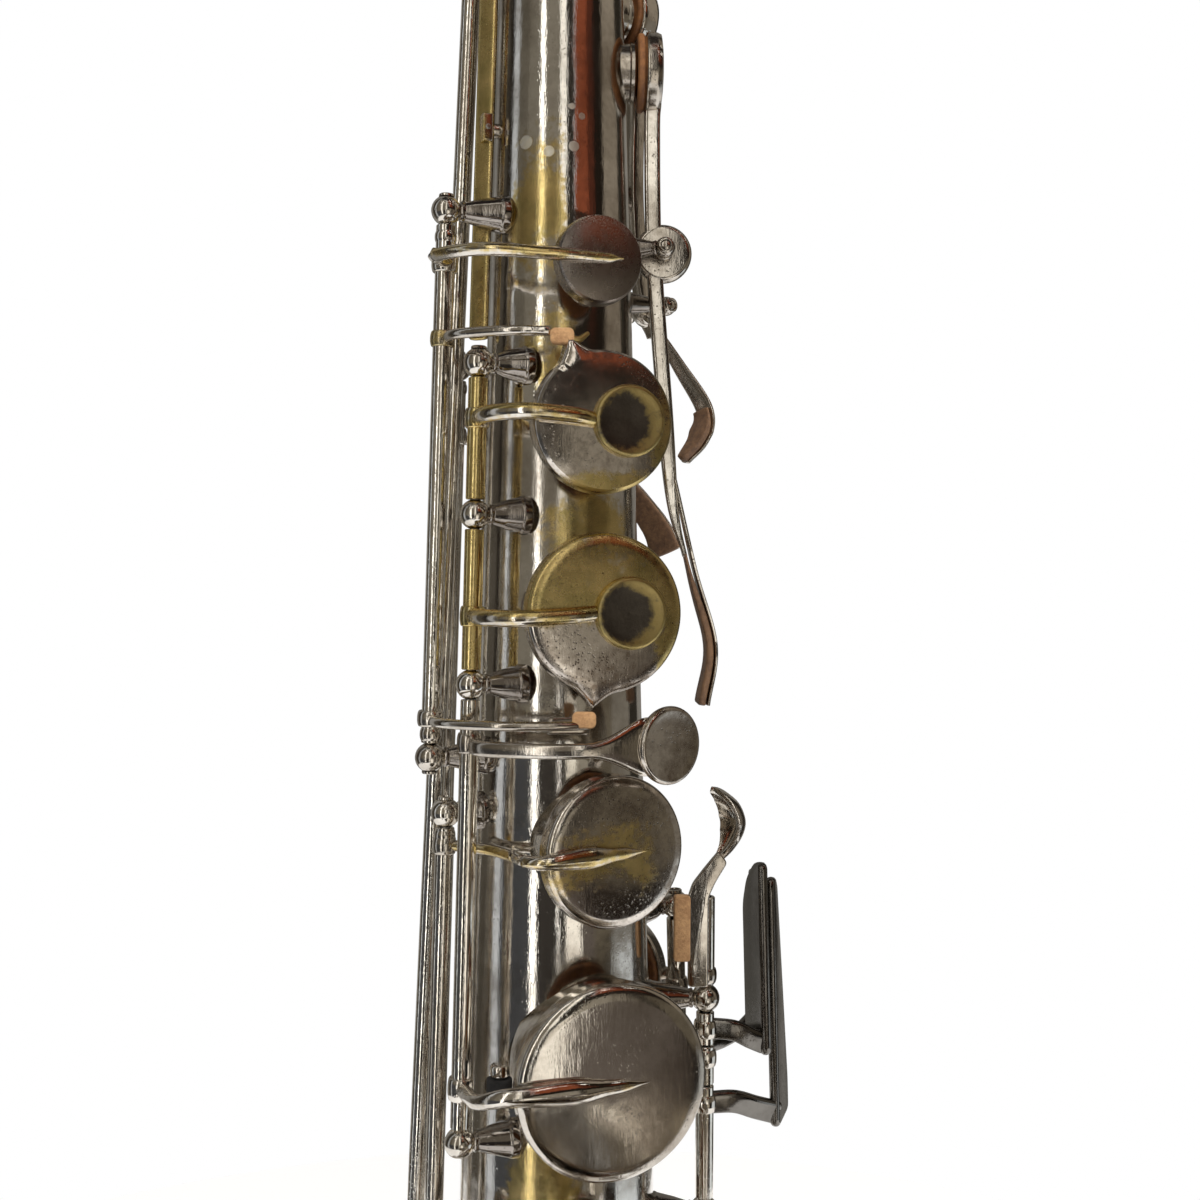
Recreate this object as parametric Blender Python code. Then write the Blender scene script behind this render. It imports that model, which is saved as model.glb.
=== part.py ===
# Tenor saxophone: body, bow, bell, neck, mouthpiece, rods, keys, pads and levers.
# Sizes are in millimetres. The body's axis is Z, the stack of keys faces -Y and the player is at +Y.
# Height 0 is the A key's hinge arm; the whole instrument hangs from the strap ring at the origin.
import math

import bmesh
import bpy
from mathutils import Matrix, Vector

MM = 0.001
GAP = 0.3

# Body tube
RADIUS_AT_ZERO = 20.5
TAPER = 0.03025
BODY_SIDES = 24
BODY_TOP = 222.0
BODY_BOTTOM = -330.0
WALL = 0.8
CHIMNEY_RISE = 3.5
CHIMNEY_WALL = 1.2
PAD_LAP = 2.6

# Bow and bell
BOW_SPAN = 112.0
BOW_LEAD = 7.0
BOW_END_RADIUS = 37.5
BELL_TOP = -175.0
BELL_LEAN = 8.0
BELL_RIM_RADIUS = 76.0
BELL_CONE = 9.0
BELL_SHARES = (0.0, 0.5, 0.7, 0.82, 0.91, 1.0)

# Hinges
ROD_RADIUS = 1.15
BORE_RADIUS = 1.5
TUBE_RADIUS = 2.35
BALL_RADIUS = 3.2
POST_STEM = 1.9
POST_FOOT = 4.2
STACK_FOOT = -47.0
ROCKER_HALF = 8.0

# Little finger's table
TABLE_ANGLE = 70.0
TABLE_REACH = 38.5
TABLE_LEAN = 0.03
TABLE_THICK = 2.2

# Cups and pads
CUP_SIDE = 4.4
CUP_DOME = 1.5
CUP_WALL = 0.8
CUP_SIDES = 14
PAD_REVEAL = 0.9
ARM_RADIUS = 1.7

# Strap ring, the point that the instrument hangs from
STRAP_RING = Vector((0.0, 37.5, -140.0))
RING_OUTER = 7.0
RING_INNER = 4.4
THUMB_HOOK_HEIGHT = -215.0
THUMB_REST = (155.0, -14.0)

# Neck socket, its clamp, and the octave key below it
COLLAR_LOW = 204.0
COLLAR_THICK = 2.6
LUG_HEIGHT = 214.0
LUG_OFF = 5.5
CLAMP_BORE = 1.9
OCTAVE_PIP = (164.0, -90.0)
OCTAVE_BAR_OFF = 3.2
OCTAVE_FULCRUM = 117.0

# Neck: places of its middle line in the plane of the bell, and its radii
NECK_LINE = [(0.0, 201.0), (0.0, 222.0), (0.0, 240.0), (7.0, 270.0), (28.0, 296.0), (62.0, 313.0),
             (100.0, 317.0)]
NECK_END = Vector((0.0, 136.0, 308.0))
NECK_AIM = Vector((0.0, 0.868, -0.496)).normalized()
NECK_UP = Vector((0.0, 0.496, 0.868)).normalized()
NECK_STRAIGHT = 46.0
TENON_RADIUS = 12.6
TIP_RADIUS = 6.8
NECK_SIDES = 12

# Neck octave key and mouthpiece
OCTAVE_SADDLE = Vector((0.0, 52.0, 330.0))
MOUTHPIECE_ON = 16.0
LIGATURE_RADIUS = 13.9
LIGATURE_DROP = -0.9
LIGATURE_SCREW_DROP = -20.0

# How far each open key stands off its hole, and how far each closed key lifts, in degrees
STACK_OPEN = 9.0
C_OPEN = 7.5
LOW_OPEN = 7.0
TOUCH_SHIFT = 5.5


def body_radius(height):
    return RADIUS_AT_ZERO - TAPER * height


def polar(angle, radius, height):
    turn = math.radians(angle)
    return Vector((radius * math.sin(turn), -radius * math.cos(turn), height))


def beside_body(angle, off, height):
    return polar(angle, body_radius(height) + off, height)


def outward(angle):
    return polar(angle, 1.0, 0.0)


def tangent(angle):
    # The level direction round the body, towards larger angles.
    return outward(angle + 90.0)


def clear_scene():
    for found in list(bpy.data.objects):
        bpy.data.objects.remove(found, do_unlink=True)


def finish(name, colour, roughness, metallic):
    material = bpy.data.materials.new(name)
    material.use_nodes = True
    shader = material.node_tree.nodes["Principled BSDF"]
    shader.inputs["Base Color"].default_value = (*colour, 1.0)
    shader.inputs["Roughness"].default_value = roughness
    shader.inputs["Metallic"].default_value = metallic
    return material


def make_finishes():
    return {
        "silver": finish("silver_plate", (0.62, 0.59, 0.55), 0.28, 1.0),
        "brass": finish("worn_brass", (0.66, 0.50, 0.25), 0.32, 1.0),
        "steel": finish("rod_steel", (0.45, 0.45, 0.46), 0.35, 1.0),
        "leather": finish("pad_leather", (0.42, 0.22, 0.11), 0.7, 0.0),
        "cork": finish("neck_cork", (0.68, 0.47, 0.28), 0.85, 0.0),
        "ebonite": finish("black_ebonite", (0.015, 0.015, 0.017), 0.25, 0.0),
        "cane": finish("reed_cane", (0.78, 0.66, 0.40), 0.6, 0.0),
    }


def mesh_object(name, points, faces):
    mesh = bpy.data.meshes.new(name)
    mesh.from_pydata([point * MM for point in points], [], faces)
    work = bmesh.new()
    work.from_mesh(mesh)
    bmesh.ops.recalc_face_normals(work, faces=work.faces)
    work.to_mesh(mesh)
    work.free()
    made = bpy.data.objects.new(name, mesh)
    bpy.context.scene.collection.objects.link(made)
    return made


def side_axes(axis):
    # Two directions square to an axis, and to each other.
    helper = Vector((0, 0, 1)) if abs(axis.z) < 0.9 else Vector((0, 1, 0))
    first = axis.cross(helper).normalized()
    return first, axis.cross(first).normalized()


def ring_faces(start, sides):
    return [(start + i, start + (i + 1) % sides, start + sides + (i + 1) % sides, start + sides + i)
            for i in range(sides)]


def lathe(profile, sides, base, axis):
    # Turns (radius, height) pairs about an axis. A zero radius at an end closes to a point,
    # and a profile with none is joined end to start as a ring.
    axis = axis.normalized()
    first, second = side_axes(axis)
    points = []
    faces = []
    rings = []
    for radius, height in profile:
        centre = base + axis * height
        if radius == 0.0:
            rings.append([len(points)])
            points.append(centre)
            continue
        rings.append(list(range(len(points), len(points) + sides)))
        for i in range(sides):
            turn = 2.0 * math.pi * i / sides
            points.append(centre + (first * math.cos(turn) + second * math.sin(turn)) * radius)
    pairs = list(zip(rings, rings[1:]))
    if len(rings[0]) > 1 and len(rings[-1]) > 1:
        pairs.append((rings[-1], rings[0]))
    for low, high in pairs:
        for i in range(sides):
            j = (i + 1) % sides
            corners = [low[i % len(low)], low[j % len(low)], high[j % len(high)], high[i % len(high)]]
            faces.append(list(dict.fromkeys(corners)))
    return mesh_object("turned", points, faces)


def rod(start, end, radius, sides=8):
    span = end - start
    return lathe([(0.0, 0.0), (radius, 0.0), (radius, span.length), (0.0, span.length)],
                 sides, start, span)


def pipe(start, end, outer, inner, sides=8):
    length = (end - start).length
    return lathe([(outer, 0.0), (outer, length), (inner, length), (inner, 0.0)],
                 sides, start, end - start)


def curve_through(points, steps):
    # A smooth path through the given points, with the given number of steps between neighbours.
    padded = [points[0] * 2 - points[1], *points, points[-1] * 2 - points[-2]]
    path = []
    for i in range(len(points) - 1):
        a, b, c, d = padded[i:i + 4]
        for k in range(steps):
            t = k / steps
            path.append(b + (c - a) * (t / 2) + (a * 2 - b * 5 + c * 4 - d) * (t * t / 2)
                        + (b * 3 - a - c * 3 + d) * (t ** 3 / 2))
    path.append(points[-1])
    return path


def path_frames(path, upright):
    # A pair of side directions at every point; the second stays close to the upright direction.
    frames = []
    for i, point in enumerate(path):
        ahead = (path[min(i + 1, len(path) - 1)] - path[max(i - 1, 0)]).normalized()
        first = ahead.cross(upright).normalized()
        frames.append((first, first.cross(ahead).normalized()))
    return frames


def sweep(path, widths, depths, upright, sides=5):
    # A solid bar along a path; width is across the upright direction and depth along it.
    points = []
    faces = []
    for i, (first, second) in enumerate(path_frames(path, upright)):
        for k in range(sides):
            turn = 2.0 * math.pi * (k + 0.5) / sides
            points.append(path[i] + first * (widths[i] * math.cos(turn))
                          + second * (depths[i] * math.sin(turn)))
        if i:
            faces += ring_faces((i - 1) * sides, sides)
    faces.append(list(range(sides)))
    faces.append([len(points) - 1 - i for i in range(sides)])
    return mesh_object("swept", points, faces)


def even(path, start, end=None):
    # One value for each point of a path, running evenly from start to end.
    stop = start if end is None else end
    last = len(path) - 1
    return [start + (stop - start) * i / last for i in range(len(path))]


def bent_plate(outline, base, across, along, thick):
    # A flat plate: outline pairs are laid off along the two directions and given a thickness.
    normal = across.cross(along).normalized()
    points = []
    for lift in (-thick / 2, thick / 2):
        points += [base + across * u + along * v + normal * lift for u, v in outline]
    count = len(outline)
    faces = ring_faces(0, count)
    faces.append(list(range(count)))
    faces.append([2 * count - 1 - i for i in range(count)])
    return mesh_object("plate", points, faces)


def rounded(width, height, corner, steps=1):
    # Outline of a rectangle with round corners, centred on zero.
    outline = []
    for quarter, (sx, sy) in enumerate(((1, 1), (-1, 1), (-1, -1), (1, -1))):
        for k in range(steps + 1):
            turn = math.pi / 2 * (quarter + k / steps)
            outline.append((sx * (width / 2 - corner) + corner * math.cos(turn),
                            sy * (height / 2 - corner) + corner * math.sin(turn)))
    return outline


def evaluated(shape):
    graph = bpy.context.evaluated_depsgraph_get()
    return bpy.data.meshes.new_from_object(shape.evaluated_get(graph))


def is_closed(mesh):
    work = bmesh.new()
    work.from_mesh(mesh)
    closed = all(edge.is_manifold for edge in work.edges)
    work.free()
    return closed


def combine(first, others, operation):
    # Joins or cuts with the exact solver, and with the manifold one where that leaves open edges.
    for other in others:
        change = first.modifiers.new(operation.lower(), "BOOLEAN")
        change.operation = operation
        change.solver = "EXACT"
        change.object = other
    mesh = evaluated(first)
    if not is_closed(mesh):
        for change in first.modifiers:
            change.solver = "MANIFOLD"
        mesh = evaluated(first)
    first.modifiers.clear()
    first.data = mesh
    for other in others:
        bpy.data.objects.remove(other, do_unlink=True)
    return first


def fuse(*pieces):
    return combine(pieces[0], pieces[1:], "UNION")


def cut(piece, cutters):
    return combine(piece, cutters, "DIFFERENCE")


class Saxophone:
    # Holds the root empty and the finishes, and turns built shapes into named, placed sub-parts.

    def __init__(self):
        self.finishes = make_finishes()
        self.root = bpy.data.objects.new("saxophone", None)
        self.root.location = -STRAP_RING * MM
        bpy.context.scene.collection.objects.link(self.root)

    def place(self, name, shape, kind, pivot=None, axis=None, turn=0.0):
        # Names a shape and puts its origin at the pivot, turned about the axis by some degrees.
        shape.name = name
        shape.data.name = name
        centre = pivot or Vector((0, 0, 0))
        shape.data.transform(Matrix.Translation(-centre * MM))
        shape.data.materials.clear()
        shape.data.materials.append(self.finishes[kind])
        shape.data.shade_smooth()
        shape.data.set_sharp_from_angle(angle=math.radians(38))
        shape.parent = self.root
        shape.location = centre * MM
        if axis is not None:
            shape.rotation_mode = "QUATERNION"
            shape.rotation_quaternion = Matrix.Rotation(math.radians(turn), 4, axis).to_quaternion()
        return shape


# Straight hinge lines that run beside the body: angle round it, distance off it, and how that
# distance grows with height.
class HingeLine:

    def __init__(self, angle, off, grow=0.0):
        self.angle = angle
        self.off = off
        self.grow = grow

    def at(self, height):
        return beside_body(self.angle, self.off + self.grow * height, height)

    def axis(self):
        return (self.at(1.0) - self.at(0.0)).normalized()


class FreeLine:
    # A hinge line that is given by one point and a direction, measured along the direction.

    def __init__(self, base, direction):
        self.base = base
        self.direction = direction.normalized()

    def at(self, along):
        return self.base + self.direction * along

    def axis(self):
        return self.direction


STACK = HingeLine(-64.0, 9.5)
OUTER = HingeLine(-84.0, 13.5)
SIDE_BB = HingeLine(-84.0, 9.0)
SIDE_E = HingeLine(-108.0, 9.0, -0.0135)
SIDE_C = HingeLine(-126.0, 9.0)
TABLE = FreeLine(polar(TABLE_ANGLE, TABLE_REACH, 0.0), Vector((0, 0, 1)))
BELL_RIGHT = FreeLine(Vector((46.0, -80.0, 0.0)), Vector((0, 0, 1)))
BELL_LEFT = FreeLine(Vector((-46.0, -80.0, 0.0)), Vector((0, 0, 1)))
LOW_C_LINE = FreeLine(Vector((-50.0, -34.0, 0.0)), Vector((0, 0, 1)))
LOW_EB_LINE = FreeLine(Vector((-50.0, 0.0, -316.0)), Vector((0, 1, 0)))
G_SHARP_LINE = HingeLine(88.0, 10.0)


def rocker_line(angle, reach, height):
    # A level hinge line square to the body, for keys that rock in one upright plane.
    return FreeLine(polar(angle, reach, height), tangent(angle))


# Palm keys: angle round the body, distance of the hinge from the body's axis, and its height
PALM_PLACES = {"palm_d": (70.0, 26.3, 88.2), "palm_eb": (106.0, 29.0, 77.0), "palm_f": (140.0, 27.0, 108.0)}
PALM_LINES = {name: rocker_line(*place) for name, place in PALM_PLACES.items()}
OCTAVE_PLACE = (155.0, 27.5, 22.0)
OCTAVE_LINE = rocker_line(*OCTAVE_PLACE)


def rocker_posts(line, place):
    # The two posts of a rocking key, at either end of its short hinge tube.
    angle, reach, height = place
    spread = math.degrees(math.atan2(ROCKER_HALF, reach))
    return [(line, -ROCKER_HALF, angle - spread), (line, ROCKER_HALF, angle + spread)]


# Posts on the body: hinge line, place along it, and the angle round the body of the post's foot
BODY_POSTS = (
    [(STACK, height, STACK_FOOT) for height in (57.0, 20.5, -20.5, -131.0)]
    + [(STACK, height, STACK_FOOT) for height in (-152.0, -186.0, -231.0, -277.0, -323.0)]
    + [(OUTER, 95.0, -75.0), (OUTER, -39.0, -78.0)]
    + [(SIDE_BB, -53.0, -84.0), (SIDE_BB, -232.0, -84.0)]
    + [(SIDE_E, 184.0, -108.0), (SIDE_E, -186.0, -108.0)]
    + [(SIDE_C, 60.0, -126.0), (SIDE_C, -209.0, -126.0)]
    + [(TABLE, -104.0, TABLE_ANGLE), (TABLE, -160.0, TABLE_ANGLE)]
    + [(G_SHARP_LINE, -82.0, 88.0), (G_SHARP_LINE, -126.0, 88.0)]
    + [(LOW_C_LINE, -283.0, -40.0), (LOW_C_LINE, -318.0, -40.0)]
    + [found for name, place in PALM_PLACES.items() for found in rocker_posts(PALM_LINES[name], place)]
    + rocker_posts(OCTAVE_LINE, OCTAVE_PLACE)
)
LOW_EB_POSTS = (0.0, 24.0)
BELL_POSTS = [(BELL_RIGHT, height) for height in (-206.0, -262.0, -318.0)]
BELL_POSTS += [(BELL_LEFT, height) for height in (-240.0, -310.0)]


class Hole:
    # A tone hole on the body: height, angle round the body, and the radius of the cup that covers it.

    def __init__(self, height, angle, cup, rise=CHIMNEY_RISE):
        self.cup = cup
        self.out = outward(angle)
        self.across = tangent(angle)
        self.centre = polar(angle, 0.0, height)
        self.seat = body_radius(height) + rise
        self.top = self.seat + GAP + PAD_REVEAL + CUP_SIDE + CUP_DOME
        self.foot = body_radius(height) * 0.55
        self.sides = 14 if cup > 15.0 else 10

    def at(self, side, level, height):
        # A place by the hole: distance across it, distance out from the body's axis, and height.
        return self.across * side + self.out * level + Vector((0, 0, height))


class BellHole:
    # A tone hole on the bell or bow, which faces along a given direction from a given centre.

    def __init__(self, centre, out, seat, cup):
        self.cup = cup
        self.out = out.normalized()
        self.centre = centre
        self.seat = seat
        self.foot = seat * 0.6
        self.sides = 14


def bow_centre(turn):
    swing = math.radians(turn)
    half = BOW_SPAN / 2
    return Vector((0.0, -half + half * math.cos(swing), BODY_BOTTOM - BOW_LEAD - half * math.sin(swing)))


BOW_TURN = 180.0 - BELL_LEAN
BELL_AXIS = Vector((0.0, -math.sin(math.radians(BELL_LEAN)), math.cos(math.radians(BELL_LEAN))))
BELL_BASE = bow_centre(BOW_TURN) + BELL_AXIS * BOW_LEAD
BELL_LENGTH = (BELL_TOP - BELL_BASE.z) / BELL_AXIS.z


def bell_share(height):
    return (height - BELL_BASE.z) / (BELL_TOP - BELL_BASE.z)


def bell_centre(height):
    return BELL_BASE + BELL_AXIS * (BELL_LENGTH * bell_share(height))


HOLES = {
    "c": Hole(80.0, 4.0, 10.5),
    "b": Hole(42.0, 4.0, 17.0),
    "a": Hole(-3.0, 4.0, 19.0),
    "bb": Hole(-60.0, 6.0, 18.5),
    "g": Hole(-113.0, 6.0, 23.5),
    "fs": Hole(-167.5, 2.0, 18.5),
    "f": Hole(-208.5, 2.0, 21.5),
    "e": Hole(-254.0, 2.0, 21.5),
    "d": Hole(-300.0, 2.0, 21.5),
    "palm_d": Hole(134.0, 70.0, 10.0, 2.5),
    "palm_eb": Hole(152.0, 106.0, 10.0, 2.5),
    "palm_f": Hole(172.0, 140.0, 9.5, 2.5),
    "side_e": Hole(170.0, -156.0, 9.5),
    "side_c": Hole(42.0, -170.0, 10.0),
    "gs": Hole(-104.0, 132.0, 17.0),
}
BOW_HOLES = {
    "low_eb": BellHole(bow_centre(32.0), Vector((-1, 0, 0)), 37.5, 21.0),
    "low_c": BellHole(bow_centre(105.0), Vector((-1, 0, 0)), 40.5, 23.0),
}
BELL_HOLES = {
    "low_b": BellHole(bell_centre(-293.0), Vector((0.94, -0.34, 0)), 46.5, 23.0),
    "low_bb": BellHole(bell_centre(-241.0), Vector((0.94, -0.34, 0)), 52.5, 23.5),
    "low_cs": BellHole(bell_centre(-280.0), Vector((-0.94, -0.34, 0)), 47.5, 22.0),
}


def chimney(hole):
    start = hole.centre + hole.out * hole.foot
    return rod(start, hole.centre + hole.out * hole.seat, hole.cup - PAD_LAP, hole.sides)


def chimney_bore(hole):
    start = hole.centre + hole.out * (hole.foot * 0.5)
    radius = hole.cup - PAD_LAP - CHIMNEY_WALL
    return rod(start, hole.centre + hole.out * (hole.seat + 2), radius, hole.sides)


def post(tip, foot):
    # A turned post: flared foot on the tube and a stem that ends in the ball.
    length = (tip - foot).length
    neck = length - BALL_RADIUS * 0.8
    return lathe([(0.0, -1.5), (POST_FOOT, -1.5), (POST_STEM, 2.6), (POST_STEM, neck),
                  (BALL_RADIUS, length), (BALL_RADIUS * 0.7, length + BALL_RADIUS * 0.7),
                  (0.0, length + BALL_RADIUS)], 6, foot, tip - foot)


def rod_hole(line, low, high):
    return rod(line.at(low), line.at(high), BORE_RADIUS, 6)


# Rods that keys turn on: name, hinge line, and the two ends along it
RODS = (
    ("upper_stack_rod", STACK, -134.0, 60.0),
    ("lower_stack_rod", STACK, -326.0, -149.0),
    ("c_key_rod", OUTER, -42.0, 98.0),
    ("side_bb_rod", SIDE_BB, -235.0, -50.0),
    ("table_rod", TABLE, -163.0, -75.0),
)


def neck_socket():
    top = body_radius(COLLAR_LOW) + COLLAR_THICK
    collar = rod(Vector((0, 0, COLLAR_LOW)), Vector((0, 0, BODY_TOP)), top, BODY_SIDES)
    lug_centre = beside_body(180.0, LUG_OFF, LUG_HEIGHT)
    lug = bent_plate(rounded(8.0, 10.0, 2.5), lug_centre - Vector((0, 1.5, 0)),
                     Vector((0, 1, 0)), Vector((0, 0, 1)), 9.0)
    return [collar, lug]


def build_body(sax):
    up = Vector((0, 0, 1))
    tube = lathe([(0.0, BODY_BOTTOM), (body_radius(BODY_BOTTOM), BODY_BOTTOM),
                  (body_radius(BODY_TOP), BODY_TOP), (0.0, BODY_TOP)], BODY_SIDES, Vector(), up)
    pieces = [chimney(hole) for hole in HOLES.values()]
    pieces += [post(line.at(place), beside_body(foot, 0.0, line.at(place).z))
               for line, place, foot in BODY_POSTS]
    for along in LOW_EB_POSTS:
        tip = LOW_EB_LINE.at(along)
        reach = math.sqrt(body_radius(tip.z) ** 2 - along ** 2)
        pieces.append(post(tip, Vector((-reach, along, tip.z))))
    pieces += neck_socket()
    pip_height, pip_angle = OCTAVE_PIP
    pieces.append(rod(polar(pip_angle, 10.0, pip_height), beside_body(pip_angle, 1.2, pip_height), 2.6))
    pieces.append(rod(polar(pip_angle, 14.0, OCTAVE_FULCRUM),
                      beside_body(pip_angle, OCTAVE_BAR_OFF - 1.6, OCTAVE_FULCRUM), 1.8))
    pieces.append(rod(Vector((0, 0, BODY_BOTTOM)), Vector((0, 0, BODY_BOTTOM + 5.3)),
                      body_radius(BODY_BOTTOM) + 1.6, BODY_SIDES))
    body = fuse(tube, *pieces)
    inner = lathe([(0.0, BODY_BOTTOM - 1), (body_radius(BODY_BOTTOM) - WALL, BODY_BOTTOM - 1),
                   (body_radius(BODY_TOP) - WALL, BODY_TOP + 1), (0.0, BODY_TOP + 1)],
                  BODY_SIDES, Vector(), up)
    cutters = [inner] + [chimney_bore(hole) for hole in HOLES.values()]
    cutters += [rod_hole(line, low - 4, high + 4) for name, line, low, high in RODS]
    cutters.append(rod(polar(pip_angle, 8.0, pip_height), beside_body(pip_angle, 3.0, pip_height), 1.0, 8))
    lug = beside_body(180.0, LUG_OFF, LUG_HEIGHT)
    cutters.append(rod(lug - Vector((8, 0, 0)), lug + Vector((8, 0, 0)), CLAMP_BORE, 10))
    sax.place("body_tube", cut(body, cutters), "silver")


def bow_shell(grow, extend):
    # The bent tube between body and bell; grow moves its wall and extend carries its ends past.
    steps = 9
    arc = [bow_centre(BOW_TURN * i / steps) for i in range(steps + 1)]
    lead = BOW_LEAD - GAP + extend
    path = [arc[0] + Vector((0, 0, lead)), *arc, arc[-1] + BELL_AXIS * lead]
    radii = even(path, body_radius(BODY_BOTTOM) + grow, BOW_END_RADIUS + grow)
    return sweep(path, radii, radii, Vector((1, 0, 0)), 20)


def build_bow(sax):
    bow = fuse(bow_shell(0.0, 0.0), *[chimney(hole) for hole in BOW_HOLES.values()])
    cutters = [bow_shell(-WALL - 0.2, 2.0)] + [chimney_bore(hole) for hole in BOW_HOLES.values()]
    sax.place("bow", cut(bow, cutters), "silver")


def bell_radius(share):
    # Radius of the bell at a share of its height: a slow cone that opens into the flare.
    flare = (BELL_RIM_RADIUS - BOW_END_RADIUS - BELL_CONE) * share ** 6
    return BOW_END_RADIUS + BELL_CONE * share + flare


def bell_outline():
    return [(bell_radius(share), BELL_LENGTH * share) for share in BELL_SHARES]


def build_bell(sax):
    outer = bell_outline()
    rim = [(BELL_RIM_RADIUS + 1.2, outer[-1][1] + 0.4), (BELL_RIM_RADIUS + 0.6, outer[-1][1] + 1.6)]
    top = outer[-1][1] + 1.6
    bell = lathe([(0.0, 0.0), *outer, *rim, (0.0, top)], BODY_SIDES, BELL_BASE, BELL_AXIS)
    pieces = [chimney(hole) for hole in BELL_HOLES.values()]
    for line, place in BELL_POSTS:
        tip = line.at(place)
        centre = bell_centre(place)
        pieces.append(post(tip, centre + (tip - centre).normalized() * bell_radius(bell_share(place))))
    bell = fuse(bell, *pieces)
    inner = [(radius - 1.0, height) for radius, height in outer]
    hollow = lathe([(0.0, -2.0), (inner[0][0], -2.0), *inner, (inner[-1][0], top + 2), (0.0, top + 2)],
                   BODY_SIDES, BELL_BASE, BELL_AXIS)
    cutters = [hollow] + [chimney_bore(hole) for hole in BELL_HOLES.values()]
    sax.place("bell", cut(bell, cutters), "silver")


def build_rods(sax):
    for name, line, low, high in RODS:
        sax.place(name, rod(line.at(low), line.at(high), ROD_RADIUS), "steel")


def cup_outline(radius):
    # Outer side of a key cup, from the middle of its dome to its rim.
    top = CUP_SIDE + CUP_DOME
    return [(0.0, top), (radius - 1.0, CUP_SIDE + 0.4), (radius, CUP_SIDE - 0.7), (radius, 0.0)]


def cup_base(hole):
    return hole.centre + hole.out * (hole.seat + GAP + PAD_REVEAL)


def cup_top(hole, sink=-0.4):
    return cup_base(hole) + hole.out * (CUP_SIDE + CUP_DOME - sink)


def hollow_cup(hole):
    # A cup that a separate pad sits in.
    inside = hole.cup - CUP_WALL
    roof = CUP_SIDE - CUP_WALL
    outline = cup_outline(hole.cup) + [(inside, 0.0), (inside, roof), (0.0, roof)]
    return lathe(outline, CUP_SIDES, cup_base(hole), hole.out)


def filled_cup(hole):
    # A cup with its pad glued in as one piece.
    inside = hole.cup - CUP_WALL
    outline = cup_outline(hole.cup) + [(inside, -PAD_REVEAL), (0.0, -PAD_REVEAL)]
    return lathe(outline, CUP_SIDES, cup_base(hole), hole.out)


def pad_disc(hole):
    radius = hole.cup - CUP_WALL - GAP
    thick = PAD_REVEAL + CUP_SIDE - CUP_WALL - GAP
    outline = [(0.0, 0.0), (radius - 0.8, 0.0), (radius, 0.7), (radius, thick), (0.0, thick)]
    return lathe(outline, CUP_SIDES, hole.centre + hole.out * (hole.seat + GAP), hole.out)


def touch_disc(centre, out, radius=8.3):
    # A round finger touch with a raised ring and a dished middle.
    outline = [(0.0, -1.6), (radius * 0.72, -1.6), (radius, 1.2), (radius - 0.6, 2.8), (0.0, 1.8)]
    return lathe(outline, 12, centre, out)


def arm(points, start=ARM_RADIUS, end=ARM_RADIUS, steps=2, upright=Vector((0, 0, 1))):
    path = curve_through(points, steps)
    radii = even(path, start, end)
    return sweep(path, radii, radii, upright)


def flat_bar(points, widths, thick, upright, steps=2):
    # A bar whose half width runs evenly from the first to the second of the given widths.
    path = curve_through(points, steps)
    return sweep(path, even(path, *widths), even(path, thick), upright)


def from_tube(line, height, angle, off):
    # Where an arm leaves a hinge tube: just outside its bore, towards a point beside the body.
    start = line.at(height)
    towards = beside_body(angle, off, height) - start
    return start + towards.normalized() * (BORE_RADIUS + 0.45)


def key(sax, name, line, ends, shapes, turn=0.0, pads=(), kind="silver", bored=True):
    # A key on a hinge tube between two places on its line, with its arms, cups and touches.
    # Short keys turn on point screws in their posts, so their tubes are not bored through.
    low, high = ends
    if bored:
        tube = pipe(line.at(low), line.at(high), TUBE_RADIUS, BORE_RADIUS)
    else:
        tube = rod(line.at(low), line.at(high), TUBE_RADIUS)
    pivot = line.at((low + high) / 2)
    sax.place(name, fuse(tube, *shapes), kind, pivot, line.axis(), turn)
    for pad_name, hole in pads:
        sax.place(pad_name, pad_disc(hole), "leather", pivot, line.axis(), turn)


def beside(*places):
    return [beside_body(*place) for place in places]


def build_c_key(sax):
    hole = HOLES["c"]
    cup_arm = arm([from_tube(OUTER, 82.0, -60.0, 18.0), *beside((-70.0, 18.5, 82.0), (-45.0, 18.0, 81.0)),
                   *beside((-20.0, 13.5, 80.0)), cup_top(hole), cup_top(hole) + Vector((5.0, 0.4, 0.0))],
                  1.7, 1.1)
    upper_link = arm([from_tube(OUTER, 63.5, -64.0, 15.0), *beside((-64.0, 14.5, 63.2), (-40.0, 11.5, 63.0)),
                      *beside((-22.0, 8.6, 63.0))], 1.3, 1.2)
    upper_cork = bent_plate(rounded(8.0, 3.0, 1.0), beside_body(-16.0, 8.6, 63.0),
                            Vector((0.95, -0.28, 0)), Vector((0, 0, 1)), 2.4)
    lower_link = arm([from_tube(OUTER, -29.3, -64.0, 16.5), *beside((-64.0, 16.5, -29.2)),
                      *beside((-40.0, 14.5, -29.0), (-18.0, 11.0, -29.0), (-8.0, 9.6, -29.0))], 1.25, 1.1)
    collars = [pipe(OUTER.at(low), OUTER.at(low + 4.2), TUBE_RADIUS + 0.7, BORE_RADIUS + 0.3)
               for low in (61.5, -31.5)]
    key(sax, "c_key", OUTER, (-35.4, 91.4), [*collars, cup_arm, upper_link, upper_cork, lower_link,
                                            hollow_cup(hole)], -C_OPEN, [("c_pad", hole)])


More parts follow.
